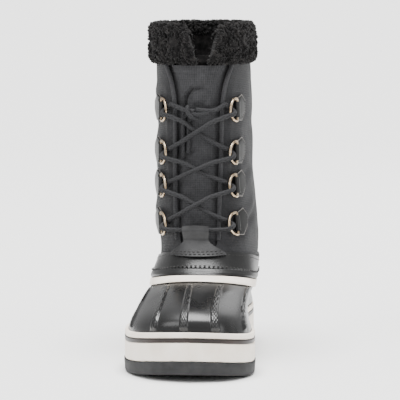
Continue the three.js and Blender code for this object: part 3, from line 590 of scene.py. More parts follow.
def antique_brass():
    """Antiqued brass wire: warm pale metal, polished high spots and brown tarnish."""
    mat, tree, shader = material("antique_brass_wire", 0.28, metallic=1.0)
    place = add(tree, "ShaderNodeTexCoord").outputs["Object"]
    age = add(tree, "ShaderNodeTexNoise", {"Vector": place, "Scale": per_metre(4), "Detail": 5.0})
    colour = colours(tree, age.outputs["Fac"], [(0.3, "6d5a47"), (0.5, "b8a48a"), (0.75, "d8c8b0")])
    tree.links.new(colour, shader.inputs["Base Color"])
    rough = add(tree, "ShaderNodeMapRange", {"Value": age.outputs["Fac"], "To Min": 0.42, "To Max": 0.18})
    tree.links.new(rough.outputs["Result"], shader.inputs["Roughness"])
    bump(tree, shader, age.outputs["Fac"], 0.08, 0.5)
    return mat


def braid():
    """Round braided polyester lace: dark grey plaits that cross at a slant."""
    mat, tree, shader = material("braided_lace", 0.75, Specular_IOR_Level=0.3)
    uv = add(tree, "ShaderNodeUVMap").outputs["UV"]
    waves = []
    for turn in (0.7, -0.7):
        turned = add(tree, "ShaderNodeMapping", {"Vector": uv, "Rotation": (0, 0, turn)})
        wave = add(tree, "ShaderNodeTexWave", {"Vector": turned.outputs[0], "Scale": per_metre(1.0) / 20 * math.pi})
        waves.append(wave.outputs["Fac"])
    both = add(tree, "ShaderNodeMath", {0: waves[0], 1: waves[1]}, operation="MAXIMUM")
    colour = colours(tree, both.outputs[0], [(0.2, "141415"), (0.8, "242426")])
    tree.links.new(colour, shader.inputs["Base Color"])
    bump(tree, shader, both.outputs[0], 0.25, 0.6)
    return mat


def thread():
    """Waxed sewing thread: dark grey with a soft shine."""
    mat, tree, shader = material("waxed_thread", 0.5, Specular_IOR_Level=0.3)
    place = add(tree, "ShaderNodeTexCoord").outputs["Object"]
    twist = add(tree, "ShaderNodeTexNoise", {"Vector": place, "Scale": per_metre(1), "Detail": 2.0})
    colour = colours(tree, twist.outputs["Fac"], [(0.3, "1c1c1b"), (0.7, "302f2e")])
    tree.links.new(colour, shader.inputs["Base Color"])
    bump(tree, shader, twist.outputs["Fac"], 0.1, 0.5)
    return mat


CREAM = cream_rubber()
STRIPE = stripe_rubber()
GREY_RUBBER = outsole_rubber()
SHELL_RUBBER = shell_rubber()
NYLON = nylon("woven_nylon_shaft", "121213", "28282a")
TONGUE_NYLON = nylon("woven_nylon_tongue", "1b1b1c", "38383a")
SATIN_LEATHER = leather("satin_black_leather", "1a1a1b", "2c2c2d", 0.42)
GLOSS_LEATHER = leather("polished_black_leather", "060606", "0b0b0b", 0.36)
CUT_EDGE = leather("raw_leather_edge", "55524f", "76726e", 0.6)
PILE = pile()
FELT = felt()
BRASS = antique_brass()
BRAID = braid()
THREAD = thread()


# Making meshes
def finish_piece(piece, name, finish, nodes=()):
    piece.name = name
    piece.data.name = name
    piece.data.materials.clear()
    piece.data.materials.append(finish)
    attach(piece, "root")
    if nodes:
        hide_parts(*nodes)
    return piece


def apply_modifier(piece, kind, **settings):
    modifier = piece.modifiers.new(kind.lower(), kind)
    for key, value in settings.items():
        setattr(modifier, key, value)
    bpy.context.view_layer.objects.active = piece
    bpy.ops.object.modifier_apply(modifier=modifier.name)


def choose_only(piece):
    bpy.ops.object.select_all(action="DESELECT")
    piece.select_set(True)
    bpy.context.view_layer.objects.active = piece


def tidy_normals(piece, merge_mm=0.0, fill=False):
    choose_only(piece)
    bpy.ops.object.mode_set(mode="EDIT")
    bpy.ops.mesh.select_all(action="SELECT")
    if merge_mm:
        bpy.ops.mesh.remove_doubles(threshold=merge_mm * MM)
    if fill:
        bpy.ops.mesh.select_all(action="DESELECT")
        bpy.ops.mesh.select_mode(type="EDGE")
        bpy.ops.mesh.select_non_manifold()
        bpy.ops.mesh.edge_face_add()
        bpy.ops.mesh.select_mode(type="VERT")
        bpy.ops.mesh.select_all(action="SELECT")
    bpy.ops.mesh.normals_make_consistent(inside=False)
    bpy.ops.object.mode_set(mode="OBJECT")


def surface(columns, rows, place, wall=0.0, closed=False, tube=False, value=None):
    """A grid laid on a function of two shares, given a wall if it has one."""
    bpy.ops.object.select_all(action="DESELECT")
    bpy.ops.mesh.primitive_grid_add(x_subdivisions=columns, y_subdivisions=rows, size=1)
    piece = bpy.context.object
    mesh = piece.data
    flat = np.zeros(len(mesh.vertices) * 3)
    mesh.vertices.foreach_get("co", flat)
    flat = flat.reshape(-1, 3)
    points = place(flat[:, 0] + 0.5, flat[:, 1] + 0.5) + SHIFT
    order = np.lexsort((flat[:, 0].round(6), flat[:, 1].round(6)))
    net = points[order].reshape(rows + 1, columns + 1, 3)
    length = np.linalg.norm(np.diff(net, axis=1), axis=2).sum(1).mean() * MM
    height = np.linalg.norm(np.diff(net, axis=0), axis=2).sum(0).mean() * MM
    mesh.vertices.foreach_set("co", (points * MM).ravel())
    uv = np.zeros(len(mesh.loops) * 2)
    mesh.uv_layers.active.data.foreach_get("uv", uv)
    uv = uv.reshape(-1, 2) * [length, height]
    mesh.uv_layers.active.data.foreach_set("uv", uv.ravel())
    if value is not None:
        mark = mesh.attributes.new("relief", "FLOAT", "POINT")
        mark.data.foreach_set("value", value(flat[:, 0] + 0.5, flat[:, 1] + 0.5))
    if closed:
        tidy_normals(piece, 0.02, fill=tube)
    if wall:
        apply_modifier(piece, "SOLIDIFY", thickness=wall * MM, offset=-1.0)
    choose_only(piece)
    bpy.ops.object.shade_smooth_by_angle(angle=math.radians(50))
    return piece


def through(points, steps):
    """A smooth run of points through a short list of points."""
    p = np.array(points, float)
    n = len(p)
    t = np.linspace(0, n - 1, steps)
    i = np.minimum(t.astype(int), n - 2)
    w = (t - i)[:, None]
    a, b, c, d = p[np.maximum(i - 1, 0)], p[i], p[i + 1], p[np.minimum(i + 2, n - 1)]
    return 0.5 * (2 * b + (c - a) * w + (2 * a - 5 * b + 4 * c - d) * w**2 + (3 * b - a - 3 * c + d) * w**3)


def cord_frames(path):
    tangent = np.gradient(path, axis=0)
    tangent /= np.linalg.norm(tangent, axis=1, keepdims=True)
    side = np.cross(tangent[0], [0.3, 0.2, 1.0])
    sides = []
    for t in tangent:
        side = side - t * np.dot(side, t)
        side /= np.linalg.norm(side)
        sides.append(side)
    sides = np.array(sides)
    return sides, np.cross(tangent, sides)


def tube(path, radius, around=14, flat=1.0):
    """A round bar along a path, closed at its ends."""
    sides, ups = cord_frames(path)
    steps = len(path) - 1

    def place(a, b):
        i = (b * steps).round().astype(int)
        angle = -a * math.tau
        x = (np.cos(angle) * radius)[:, None] * sides[i]
        y = (np.sin(angle) * radius * flat)[:, None] * ups[i]
        return path[i] + x + y

    return surface(around, steps, place, closed=True, tube=True)


def closed_tube(path, radius, around=14):
    """A round bar whose path runs back to its start."""
    loop = np.vstack([path, path[:1]])
    tangent = np.roll(path, -1, 0) - np.roll(path, 1, 0)
    tangent /= np.linalg.norm(tangent, axis=1, keepdims=True)
    flat_normal = np.cross(path[0] - path.mean(0), path[len(path) // 4] - path.mean(0))
    flat_normal /= np.linalg.norm(flat_normal)
    ups = np.repeat(flat_normal[None], len(loop), 0)
    tangent = np.vstack([tangent, tangent[:1]])
    sides = np.cross(tangent, ups)
    steps = len(loop) - 1

    def place(a, b):
        i = (b * steps).round().astype(int)
        angle = a * math.tau
        return loop[i] + (np.cos(angle) * radius)[:, None] * sides[i] + (np.sin(angle) * radius)[:, None] * ups[i]

    return surface(around, steps, place, closed=True)


def join(pieces):
    bpy.ops.object.select_all(action="DESELECT")
    for piece in pieces:
        piece.select_set(True)
    bpy.context.view_layer.objects.active = pieces[0]
    bpy.ops.object.join()
    return bpy.context.object


def scatter(name, seed_piece, places, finish):
    """Joined copies of one small piece, each set by a matrix."""
    base = np.zeros(len(seed_piece.data.vertices) * 3)
    seed_piece.data.vertices.foreach_get("co", base)
    base = base.reshape(-1, 3)
    faces = [tuple(p.vertices) for p in seed_piece.data.polygons]
    points, polygons = [], []
    for k, (axes, centre) in enumerate(places):
        points.append(base @ axes + centre)
        shift = k * len(base)
        polygons += [tuple(v + shift for v in face) for face in faces]
    mesh = bpy.data.meshes.new(name)
    mesh.from_pydata(np.vstack(points).tolist(), [], polygons)
    piece = bpy.data.objects.new(name, mesh)
    bpy.context.scene.collection.objects.link(piece)
    mesh.polygons.foreach_set("use_smooth", [True] * len(mesh.polygons))
    bpy.data.objects.remove(seed_piece)
    return finish_piece(piece, name, finish)


def stitches(name, path, outs, long_mm=2.6, gap_mm=1.4, thick_mm=0.42):
    """A row of thread stitches laid along a path on the boot."""
    bpy.ops.object.select_all(action="DESELECT")
    bpy.ops.mesh.primitive_uv_sphere_add(segments=8, ring_count=6, radius=1.0)
    seed = bpy.context.object
    run = np.r_[0, np.cumsum(np.linalg.norm(np.diff(path, axis=0), axis=1))]
    places = []
    for s in np.arange(long_mm / 2, run[-1], long_mm + gap_mm):
        centre = np.array([np.interp(s, run, path[:, k]) for k in range(3)])
        ahead = np.array([np.interp(s + 0.4, run, path[:, k]) for k in range(3)])
        out = np.array([np.interp(s, run, outs[:, k]) for k in range(3)])
        along = (ahead - centre) / (np.linalg.norm(ahead - centre) + 1e-9)
        across = np.cross(out, along)
        axes = np.array([along * long_mm / 2, across * thick_mm, out * thick_mm]) * MM
        places.append((axes, (centre + SHIFT) * MM))
    return scatter(name, seed, places, THREAD)


def seam(name, turns, levels, out, **sizes):
    path = out_from(turns, levels, np.full(len(turns), out))
    return stitches(name, path, upper_normal(turns, levels), **sizes)


# Sole
def sole_ring(turn, inset, height):
    x, y = sole_shape(turn)
    deep = y * (SOLE_LENGTH / 2 - inset)
    return np.stack([x * (BALL_WIDTH / 2 - inset), deep, height + spring_at(deep)], axis=-1)


def band(name, profile, finish, node, columns=300):
    """A band round the sole: its section is a closed list of inset and height."""
    section = np.array(profile + profile[:1], float)
    count = len(profile)

    def place(a, b):
        at = b * count
        inset = np.interp(at, np.arange(count + 1), section[:, 0])
        height = np.interp(at, np.arange(count + 1), section[:, 1])
        return sole_ring(a, inset, height)

    piece = surface(columns, count, place, closed=True)
    return finish_piece(piece, name, finish, [node])


def round_side(low, high, inset, crown, inner, steps=6):
    """A band's section: an outer face with rounded edges, and a flat back."""
    rows = []
    for k in range(steps + 1):
        angle = -math.pi / 2 + math.pi * k / steps
        lift = math.sin(angle)
        rows.append((inset + crown * (1 - math.cos(angle)) ** 1.6, (low + high) / 2 + lift * (high - low) / 2))
    return rows + [(inner, high), (inner, low)]


def make_bands():
    low, high = OUTSOLE_HEIGHT + FIT, OUTSOLE_HEIGHT + MIDSOLE_HEIGHT
    middle = [(1.2, low), (0.5, low + 0.5), (0.3, low + 1.2), (0.35, (low + high) / 2)]
    middle += [(0.3, high - 1.0), (0.6, high - 0.3), (1.2, high), (30, high), (30, low)]
    band("cream_foxing", middle, CREAM, "midsole")
    stripe = round_side(SOLE_TOP - 0.2, STRIPE_TOP - FIT + 0.2, 0.3, 0.25, BAND_THICKNESS)
    band("brown_stripe", stripe, STRIPE, "foxing_stripe")
    bead = round_side(STRIPE_TOP, BEAD_TOP - FIT, 0.4, 1.3, BAND_THICKNESS)
    band("cream_bead", bead, CREAM, "foxing_bead")


def slab(name, loops, steps, finish, nodes):
    """A closed slab from loops of inset and height, capped straight across."""
    turns = np.arange(steps) / steps
    points = np.vstack([sole_ring(turns, inset, 0 * turns) + height(turns) for inset, height in loops])
    faces = []
    for k in range(len(loops) - 1):
        for i in range(steps):
            j = (i + 1) % steps
            faces.append((k * steps + i, k * steps + j, (k + 1) * steps + j, (k + 1) * steps + i))
    top = (len(loops) - 1) * steps
    for i in range(1, steps // 2):
        a, b, c, d = i, i + 1, steps - i - 1, steps - i
        if b == c:
            faces.append((top + a, top + b, top + d))
            faces.append((a, d, b))
        else:
            faces.append((top + a, top + b, top + c, top + d))
            faces.append((a, d, c, b))
    faces.append((top, top + 1, top + steps - 1))
    faces.append((0, steps - 1, 1))
    mesh = bpy.data.meshes.new(name)
    mesh.from_pydata(((points + SHIFT) * MM).tolist(), [], faces)
    piece = bpy.data.objects.new(name, mesh)
    bpy.context.scene.collection.objects.link(piece)
    tidy_normals(piece)
    choose_only(piece)
    bpy.ops.object.shade_smooth_by_angle(angle=math.radians(40))
    return finish_piece(piece, name, finish, nodes)


def lift(values):
    return np.stack([0 * values, 0 * values, values], axis=-1)


def make_outsole():
    steps = 288

    def y_of(turns, inset):
        return sole_shape(turns)[1] * (SOLE_LENGTH / 2 - inset)

    def wave(turns):
        return 0.8 * np.sin(turns * math.tau * 19) * 0.7 + 0.35 * np.sin(turns * math.tau * 47)

    loops = [
        (1.8, lambda t: lift(arch_at(y_of(t, 1.8)))),
        (0.9, lambda t: lift(arch_at(y_of(t, 0.9)) + 0.5)),
        (0.35, lambda t: lift(arch_at(y_of(t, 0.4)) + 1.6)),
        (0.1, lambda t: lift(0 * t + OUTSOLE_HEIGHT * 0.55)),
        (-0.25, lambda t: lift(0 * t + OUTSOLE_HEIGHT - 1.4) + lift(0.5 * wave(t))),
        (-0.05, lambda t: lift(0 * t + OUTSOLE_HEIGHT - 0.5) + lift(0.8 * wave(t))),
        (0.5, lambda t: lift(0 * t + OUTSOLE_HEIGHT - 0.1) + lift(0.25 * wave(t))),
        (2.4, lambda t: lift(0 * t + OUTSOLE_HEIGHT - 0.05)),
    ]
    piece = slab("treaded_outsole", loops, steps, GREY_RUBBER, ["outsole"])
    cutters = []
    pitch = LUG_WIDTH + GROOVE_WIDTH
    half = SOLE_LENGTH / 2
    for y in np.arange(-half + pitch, half - pitch, pitch):
        if -0.04 * half < y < 0.44 * half:
            continue
        reaches = []
        for side, sign in ((MEDIAL_SIDE, 1), (LATERAL_SIDE, -1)):
            edge = np.interp(y + 8, side[:, 1] * half, sign * side[:, 0] * BALL_WIDTH / 2)
            reaches.append(edge - LUG_RIM)
        cutters.append(make_groove(reaches, y, float(spring_at(y + pitch / 2))))
    cutter = join(cutters)
    modifier = piece.modifiers.new("lugs", "BOOLEAN")
    modifier.operation = "DIFFERENCE"
    modifier.object = cutter
    modifier.solver = "EXACT"
    choose_only(piece)
    bpy.ops.object.modifier_apply(modifier="lugs")
    bpy.data.objects.remove(cutter)


def make_groove(reaches, y, rise):
    """One chevron groove: a block bent back along both sides of the foot."""
    bpy.ops.object.select_all(action="DESELECT")
    bpy.ops.mesh.primitive_cube_add(size=2)
    block = bpy.context.object
    bpy.ops.object.mode_set(mode="EDIT")
    bpy.ops.mesh.select_all(action="SELECT")
    bpy.ops.mesh.subdivide(number_cuts=1)
    bpy.ops.object.mode_set(mode="OBJECT")
    for v in block.data.vertices:
        reach = reaches[0] if v.co.x > 0 else reaches[1]
        deep = y + abs(v.co.x) * CHEVRON_SWEEP * reach + (v.co.y + 1) * GROOVE_WIDTH / 2
        high = rise + LUG_DEPTH if v.co.z > 0 else -6.0
        v.co = [(v.co.x * reach + SHIFT[0]) * MM, (deep + SHIFT[1]) * MM, high * MM]
    tidy_normals(block)
    return block


def make_insole():
    inset = BAND_THICKNESS + SHELL_WALL + 2.2
    loops = [
        (inset + 1.0, lambda t: lift(0 * t + SOLE_TOP)),
        (inset, lambda t: lift(0 * t + SOLE_TOP + 1.2)),
        (inset, lambda t: lift(0 * t + SOLE_TOP + INSOLE_THICKNESS * 0.7)),
        (inset + 0.8, lambda t: lift(0 * t + SOLE_TOP + INSOLE_THICKNESS)),
        (inset + 3.0, lambda t: lift(0 * t + SOLE_TOP + INSOLE_THICKNESS)),
    ]
    slab("felt_insole", loops, 160, FELT, ["insole"])


make_bands()
make_outsole()
make_insole()


# Upper
def rib_share(turn, level):
    """How much of a rib the shell has at a place, from 0 to 1."""
    share = clamp((level - 0.2) / (TRIM_LEVEL - 0.27), 0.0, 1.0)
    around = np.linalg.norm(upper_point(turn + STEP, level) - upper_point(turn - STEP, level), axis=-1) / (2 * STEP)
    ends = smooth(level, 0.19, 0.24) * (1 - smooth(level, 0.9, 0.95))
    total = np.zeros(np.shape(turn))
    signed = np.mod(turn + 0.5, 1.0) - 0.5
    for low, high in RIBS:
        half = RIB_WIDTH / 2 * mix(1.75, 1.15, share)
        apart = np.abs(signed - mix(low, high, share)) * around
        total = np.maximum(total, 1 - smooth(apart, half * 0.62, half * 1.1))
    return total * ends


def front_dense(a, gather):
    return a - gather * np.sin(a * math.tau) / math.tau


def make_shell():
    def place(a, b):
        turn = front_dense(a, 0.5)
        level = mix(0.0, TRIM_LEVEL - 0.008, b)
        return out_from(turn, level, 0.75 * RIB_HEIGHT * rib_share(turn, level))

    def rib_share_at(a, b):
        return rib_share(front_dense(a, 0.5), mix(0.0, TRIM_LEVEL - 0.008, b))

    piece = surface(440, 58, place, wall=SHELL_WALL, closed=True, value=rib_share_at)
    finish_piece(piece, "ribbed_rubber_shell", SHELL_RUBBER, ["shell"])


# Creases of the nylon, each a line from one place to another on the shaft:
# distance from the front and height at both ends, half width and depth.
SHAFT_CREASES = [
    (48, 112, 92, 128, 5.0, -1.5),
    (46, 120, 88, 139, 5.0, 1.1),
    (50, 98, 100, 104, 4.5, -1.1),
    (44, 150, 82, 168, 6.0, -1.0),
    (52, 172, 96, 160, 6.0, 0.9),
    (60, 196, 110, 205, 7.0, -0.9),
    (40, 240, 90, 228, 7.0, 0.8),
    (-46, 108, -94, 122, 5.0, -1.5),
    (-46, 117, -90, 133, 5.0, 1.1),
    (-50, 148, -96, 158, 6.0, -1.1),
    (-44, 176, -84, 190, 6.0, 0.9),
    (-52, 206, -110, 198, 7.0, -0.9),
    (-42, 238, -88, 230, 7.0, 0.8),
    (130, 116, 190, 128, 6.0, -1.0),
    (-130, 116, -190, 128, 6.0, -1.0),
    (140, 170, 180, 190, 8.0, 0.8),
    (-140, 176, -180, 162, 8.0, 0.8),
    (26, 128, 34, 236, 3.0, 0.5),
    (-26, 128, -34, 236, 3.0, 0.5),
]

# Folds of the tongue, in the same terms: the big arched fold, then soft bulges.
TONGUE_FOLDS = [
    (-14, 214, -12, 230, 1.9, -5.5),
    (-12, 230, -6, 237, 1.9, -5.0),
    (-6, 237, 3, 238, 1.9, -3.6),
    (3, 238, 10, 232, 2.6, -1.8),
    (-5, 222, 2, 231, 4.2, 2.4),
    (6, 226, 13, 219, 4.0, 1.8),
    (-9, 245, 10, 246, 4.0, 1.0),
    (4, 206, 13, 214, 3.0, 1.6),
    (-14, 202, -2, 196, 3.0, -1.6),
    (2, 186, 14, 192, 3.6, 1.6),
    (-15, 178, -1, 184, 2.6, -1.6),
    (-15, 168, -3, 173, 3.8, 1.5),
    (1, 156, 15, 160, 3.8, 1.6),
    (-14, 142, -4, 150, 3.8, 1.5),
    (-6, 124, 12, 128, 4.0, 1.5),
]


def creased(distance, height, rows):
    """The depth that a list of creases gives at a place."""
    total = np.zeros(np.shape(distance))
    for from_d, from_h, to_d, to_h, half, depth in rows:
        line = np.array([to_d - from_d, to_h - from_h], float)
        length = np.linalg.norm(line)
        share = ((distance - from_d) * line[0] + (height - from_h) * line[1]) / length**2
        near = clamp(share, 0.0, 1.0)
        apart = np.hypot(distance - from_d - near * line[0], height - from_h - near * line[1])
        fade = 0.35 + 0.65 * np.sin(np.pi * clamp(share, 0.08, 0.92))
        total += depth * np.exp(-((apart / half) ** 2)) * fade
    return total


def ripple(distance, height, size, depth):
    """A soft unevenness of cloth."""
    a = np.sin(distance / size + 1.3 * np.sin(height / (1.7 * size)))
    b = np.sin(height / (1.3 * size) + 1.1 * np.sin(distance / (1.9 * size) + 2))
    return depth * a * b


def signed_distance(turn, level):
    """Distance round the shaft from the front, by turn and height."""
    z = upper_point(turn, level)[..., 2]
    signed = np.mod(turn + 0.5, 1.0) - 0.5
    place = clamp((z - LOOK_HEIGHTS[0]) / (LOOK_HEIGHTS[1] - LOOK_HEIGHTS[0]), 0, len(LOOK_HEIGHTS) - 1)
    row = place.astype(int)
    column = (signed + 0.5) * (len(LOOK_TURNS) - 1)
    i = np.minimum(column.astype(int), len(LOOK_TURNS) - 2)
    return mix(DISTANCES[row, i], DISTANCES[row, i + 1], column - i), z


def shaft_out(turn, level):
    distance, z = signed_distance(turn, level)
    soft = smooth(z, 92, 112) * (1 - smooth(z, 240, 256))
    waves = 1.5 * creased(distance, z, SHAFT_CREASES) + ripple(distance, z, 9.0, 0.4)
    edge = np.abs(np.abs(distance) - throat_half(z) - 3.2)
    hem = -0.35 * np.exp(-((edge / 0.8) ** 2)) * smooth(z, 104, 112)
    return waves * soft + hem


THROAT_START = 88.0


def make_shaft():
    def place(a, b):
        level = mix(TRIM_LEVEL, TOP_LEVEL, b)
        z = upper_point(np.full(np.shape(level), 0.04), level)[..., 2]
        high = np.maximum(z, 80)
        edge = turn_at(throat_half(high) * smooth(high, THROAT_START, height_up(THROAT_FOOT)) ** 0.5, high)
        turn = mix(edge, 1 - edge, a)
        return out_from(turn, level, shaft_out(turn, level))

    piece = surface(320, 120, place, wall=SHAFT_WALL, closed=True)
    finish_piece(piece, "nylon_shaft", NYLON, ["shaft"])


def tongue_out(distance, height):
    free = 1 - smooth(np.abs(distance), throat_half(height) - 8, throat_half(height) - 1)
    rise = smooth(height, height_up(THROAT_FOOT + 0.03), height_up(THROAT_FOOT + 0.15))
    base = -SHAFT_WALL - 2 * FIT - 1.6 * (1 - free) * rise
    folds = clamp(creased(distance, height, TONGUE_FOLDS), -5.0, 2.8) + ripple(distance, height, 5.5, 0.4)
    hem = -0.5 * np.exp(-(((height - 250.5) / 0.9) ** 2))
    return base + (folds + 0.4) * free * rise + hem


def make_tongue():
    def place(a, b):
        height = mix(height_up(0.11), height_up(0.996), b)
        distance = mix(-1, 1, a) * (throat_half(height) + 9)
        return on_boot(distance, height, tongue_out(distance, height))

    piece = surface(110, 220, place, wall=TONGUE_WALL)
    finish_piece(piece, "nylon_tongue", TONGUE_NYLON, ["tongue"])


def make_throat_bindings():
    """A narrow bound edge down each side of the throat."""
    for label, sign in (("inner", 1), ("outer", -1)):
        heights = np.linspace(106, 257.5, 90)
        distances = sign * (throat_half(heights) + 1.0)
        path = on_boot(distances, heights, 0 * heights - SHAFT_WALL / 2 + 0.5)
        piece = tube(path, SHAFT_WALL / 2 + 0.75, around=12)
        finish_piece(piece, f"throat_binding_{label}", TONGUE_NYLON)


TRIM_HIGH = TRIM_LEVEL + 0.72 * TRIM_WIDTH / LEVEL_LENGTH
TRIM_LOW = TRIM_LEVEL - 0.28 * TRIM_WIDTH / LEVEL_LENGTH


TRIM_NARROWER = 0.042


def signed_turn(turn):
    return np.mod(turn + 0.5, 1.0) - 0.5


def strip(name, from_turn, to_turn, low, high, thick, finish, nodes, columns, narrower=0.0):
    """A moulded strip on the upper, rounded across."""
    closed = to_turn - from_turn >= 1

    def place(a, b):
        turn = mix(from_turn, to_turn, a)
        level = mix(low, high - narrower * np.exp(-((signed_turn(turn) / 0.12) ** 2)), b)
        crown = (1 - (2 * b - 1) ** 4) ** 0.5
        return out_from(turn, level, FIT + thick * (0.35 + 0.65 * crown))

    piece = surface(columns, 10, place, wall=thick * 0.35 + 0.15, closed=closed)
    return finish_piece(piece, name, finish, nodes)


def make_trims():
    strip(
        "cream_shell_trim", 0, 1, TRIM_LOW, TRIM_HIGH, TRIM_THICKNESS,
        CREAM, ["shell_trim"], 320, TRIM_NARROWER,
    )
    start = round(0.26 * 56) / 56
    high = 0.5 + FIT / LEVEL_LENGTH
    strip(
        "cream_heel_piping", start, 1 - start, high, high + PIPING_WIDTH / LEVEL_LENGTH, 1.9,
        CREAM, ["heel_piping"], 140,
    )

    def place(a, b):
        turn = mix(start, 1 - start, a)
        level = mix(0.2, 0.5, b)
        edge = smooth(a, 0, 0.012) * (1 - smooth(a, 0.988, 1))
        return out_from(turn, level, FIT + 0.3 + (LEATHER - 0.3) * edge)

    piece = surface(150, 12, place, wall=0.3)
    finish_piece(piece, "heel_counter_rubber", SHELL_RUBBER, ["heel_counter"])


OVERLAY_REACH = round(0.3 * 56) / 56
OVERLAY_LOW = TRIM_HIGH + FIT / LEVEL_LENGTH


def band_high(turn):
    place = np.abs(turn) / OVERLAY_REACH
    return mix(1.345, 1.27, smooth(place, 0.35, 1.0))


def keeper_flare(b):
    return 0.46 + 0.72 * (1 - smooth(b, -0.05, 0.6)) ** 1.3


def keeper_height(side, b):
    return mix(91.0 + 1.5 * side**2, 116.5 - 0.6 * side**2, b)


def make_overlay():
    """The polished band across the instep and the satin keeper sewn on it."""

    def place(a, b):
        turn = mix(-OVERLAY_REACH, OVERLAY_REACH, a)
        level = mix(OVERLAY_LOW - TRIM_NARROWER * np.exp(-((turn / 0.12) ** 2)), band_high(turn), b)
        welt = 0.7 * smooth(b, 0.34, 0.26) * smooth(b, 0.0, 0.1)
        return out_from(turn, level, FIT + LEATHER + welt)

    piece = surface(200, 40, place, wall=LEATHER)
    finish_piece(piece, "polished_vamp_band", GLOSS_LEATHER, ["vamp_overlay"])

    def keeper_place(a, b):
        side = mix(-1, 1, a)
        distance = side * KEEPER_WIDTH * keeper_flare(b)
        height = keeper_height(side, b)
        lift_out = (LACE + 0.6) * smooth(b, 0.52, 0.84)
        crown = 0.5 * (1 - side**2)
        return on_boot(distance, height, 2 * FIT + 2 * LEATHER + lift_out * 0.85 + crown)

    piece = surface(70, 60, keeper_place, wall=LEATHER)
    finish_piece(piece, "satin_lace_keeper", SATIN_LEATHER)

    turns = np.linspace(-0.27, 0.27, 240)
    seam("band_foot_stitches", turns, OVERLAY_LOW + 0.07 + 0 * turns, FIT + LEATHER + 0.9, thick_mm=0.55)
    turns = np.linspace(-0.25, 0.25, 240)
    seam("band_head_stitches", turns, band_high(turns) - 0.03, FIT + LEATHER + 0.05, thick_mm=0.3)
    side = np.linspace(-0.96, 0.96, 80)
    for k, inset in enumerate((1.8, 4.0)):
        b = inset / 26
        distance = side * KEEPER_WIDTH * keeper_flare(b)
        height = keeper_height(side, b)
        path = on_boot(distance, height, 2 * FIT + 2 * LEATHER + 0.6 * (1 - side**2) + 0.1)
        turn = turn_at(distance, height)
        stitches(f"keeper_stitches_{k + 1}", path, upper_normal(turn, level_at(turn, height)))


make_shell()
make_shaft()
make_tongue()
make_throat_bindings()
make_trims()
make_overlay()


# Lining: pile cloth inside the shaft, seen through the collar.
def make_lining():
    def place(a, b):
        level = mix(0.05, TOP_LEVEL + 0.08, b)
        deep = mix(SHAFT_WALL + TONGUE_WALL + 6.6, 4.4, smooth(level, TOP_LEVEL - 0.03, TOP_LEVEL + 0.01))
        return out_from(a, level, -deep)

    piece = surface(120, 60, place, wall=1.2, closed=True)
    finish_piece(piece, "pile_lining", PILE)


# Cuff
CUFF_CORNER = 0.035


def cuff_gap(share):
    return mix(CUFF_GAP_BOTTOM, CUFF_GAP_TOP, share) / 2


def cuff_level(share):
    return TOP_LEVEL + FIT / 100 + share * CUFF_HEIGHT / ((SHAFT_TOP - INSTEP_HEIGHT) * 0.525)


def cuff_place(a, angle):
    """A point of the roll: once round the collar, and once round its section."""
    x, y = np.cos(angle), np.sin(angle)
    out = CUFF_OUTWARD - CUFF_THICKNESS / 2 + np.sign(x) * np.abs(x) ** 0.7 * (CUFF_THICKNESS - 1.4) / 2
    end = np.minimum(a, 1 - a) / CUFF_CORNER
    corner = 1 - np.sqrt(1 - clamp(1 - end, 0.0, 1.0) ** 2)
    share = 0.5 + np.sign(y) * np.abs(y) ** 0.7 * 0.48
    share = share - 0.24 * corner * smooth(share, 0.3, 1.0)
    height = SHAFT_TOP + share * CUFF_HEIGHT
    low = turn_at(CUFF_GAP_OFFSET + cuff_gap(share) + 1.5, height)
    high = 1 + turn_at(CUFF_GAP_OFFSET - cuff_gap(share) - 1.5, height)
    turn = mix(low, high, a)
    distance, _ = signed_distance(turn, cuff_level(share))
    folds = sum(
        -2.2 * np.exp(-(((distance - d) / 2.6) ** 2)) for d in (-15.0, -29.0, 24.0, 42.0, -52.0, 78.0, -90.0)
    )
    lumps = 0.7 * np.sin(distance / 3.1 + 2 * y) * np.sin(share * 11 + distance / 5)
    return turn, cuff_level(share), out + (folds + lumps) * (x > -0.3)


def make_cuff():
    def place(a, b):
        turn, level, out = cuff_place(a, b * math.tau)
        return out_from(turn, level, out)

    piece = surface(260, 40, place, closed=True, tube=True)
    finish_piece(piece, "pile_cuff", PILE, ["cuff"])


def curl_seed():
    """One curl of wool: a short hooked lock with a few faces."""
    bpy.ops.object.select_all(action="DESELECT")
    bpy.ops.mesh.primitive_cylinder_add(vertices=5, radius=1.0, depth=1.0, end_fill_type="TRIFAN")
    seed = bpy.context.object
    bpy.ops.object.mode_set(mode="EDIT")
    bpy.ops.mesh.select_all(action="SELECT")
    bpy.ops.mesh.subdivide(number_cuts=1)
    bpy.ops.object.mode_set(mode="OBJECT")
    for v in seed.data.vertices:
        share = v.co.z + 0.5
        angle = share * 3.4
        thin = 0.62 * (1 - 0.55 * abs(share - 0.45))
        side, up = v.co.x * thin, v.co.y * thin
        reach = 1.25 + up
        v.co = Vector((reach * math.cos(angle) - 0.6, side, reach * math.sin(angle) * 0.9 - 0.3))
    return seed


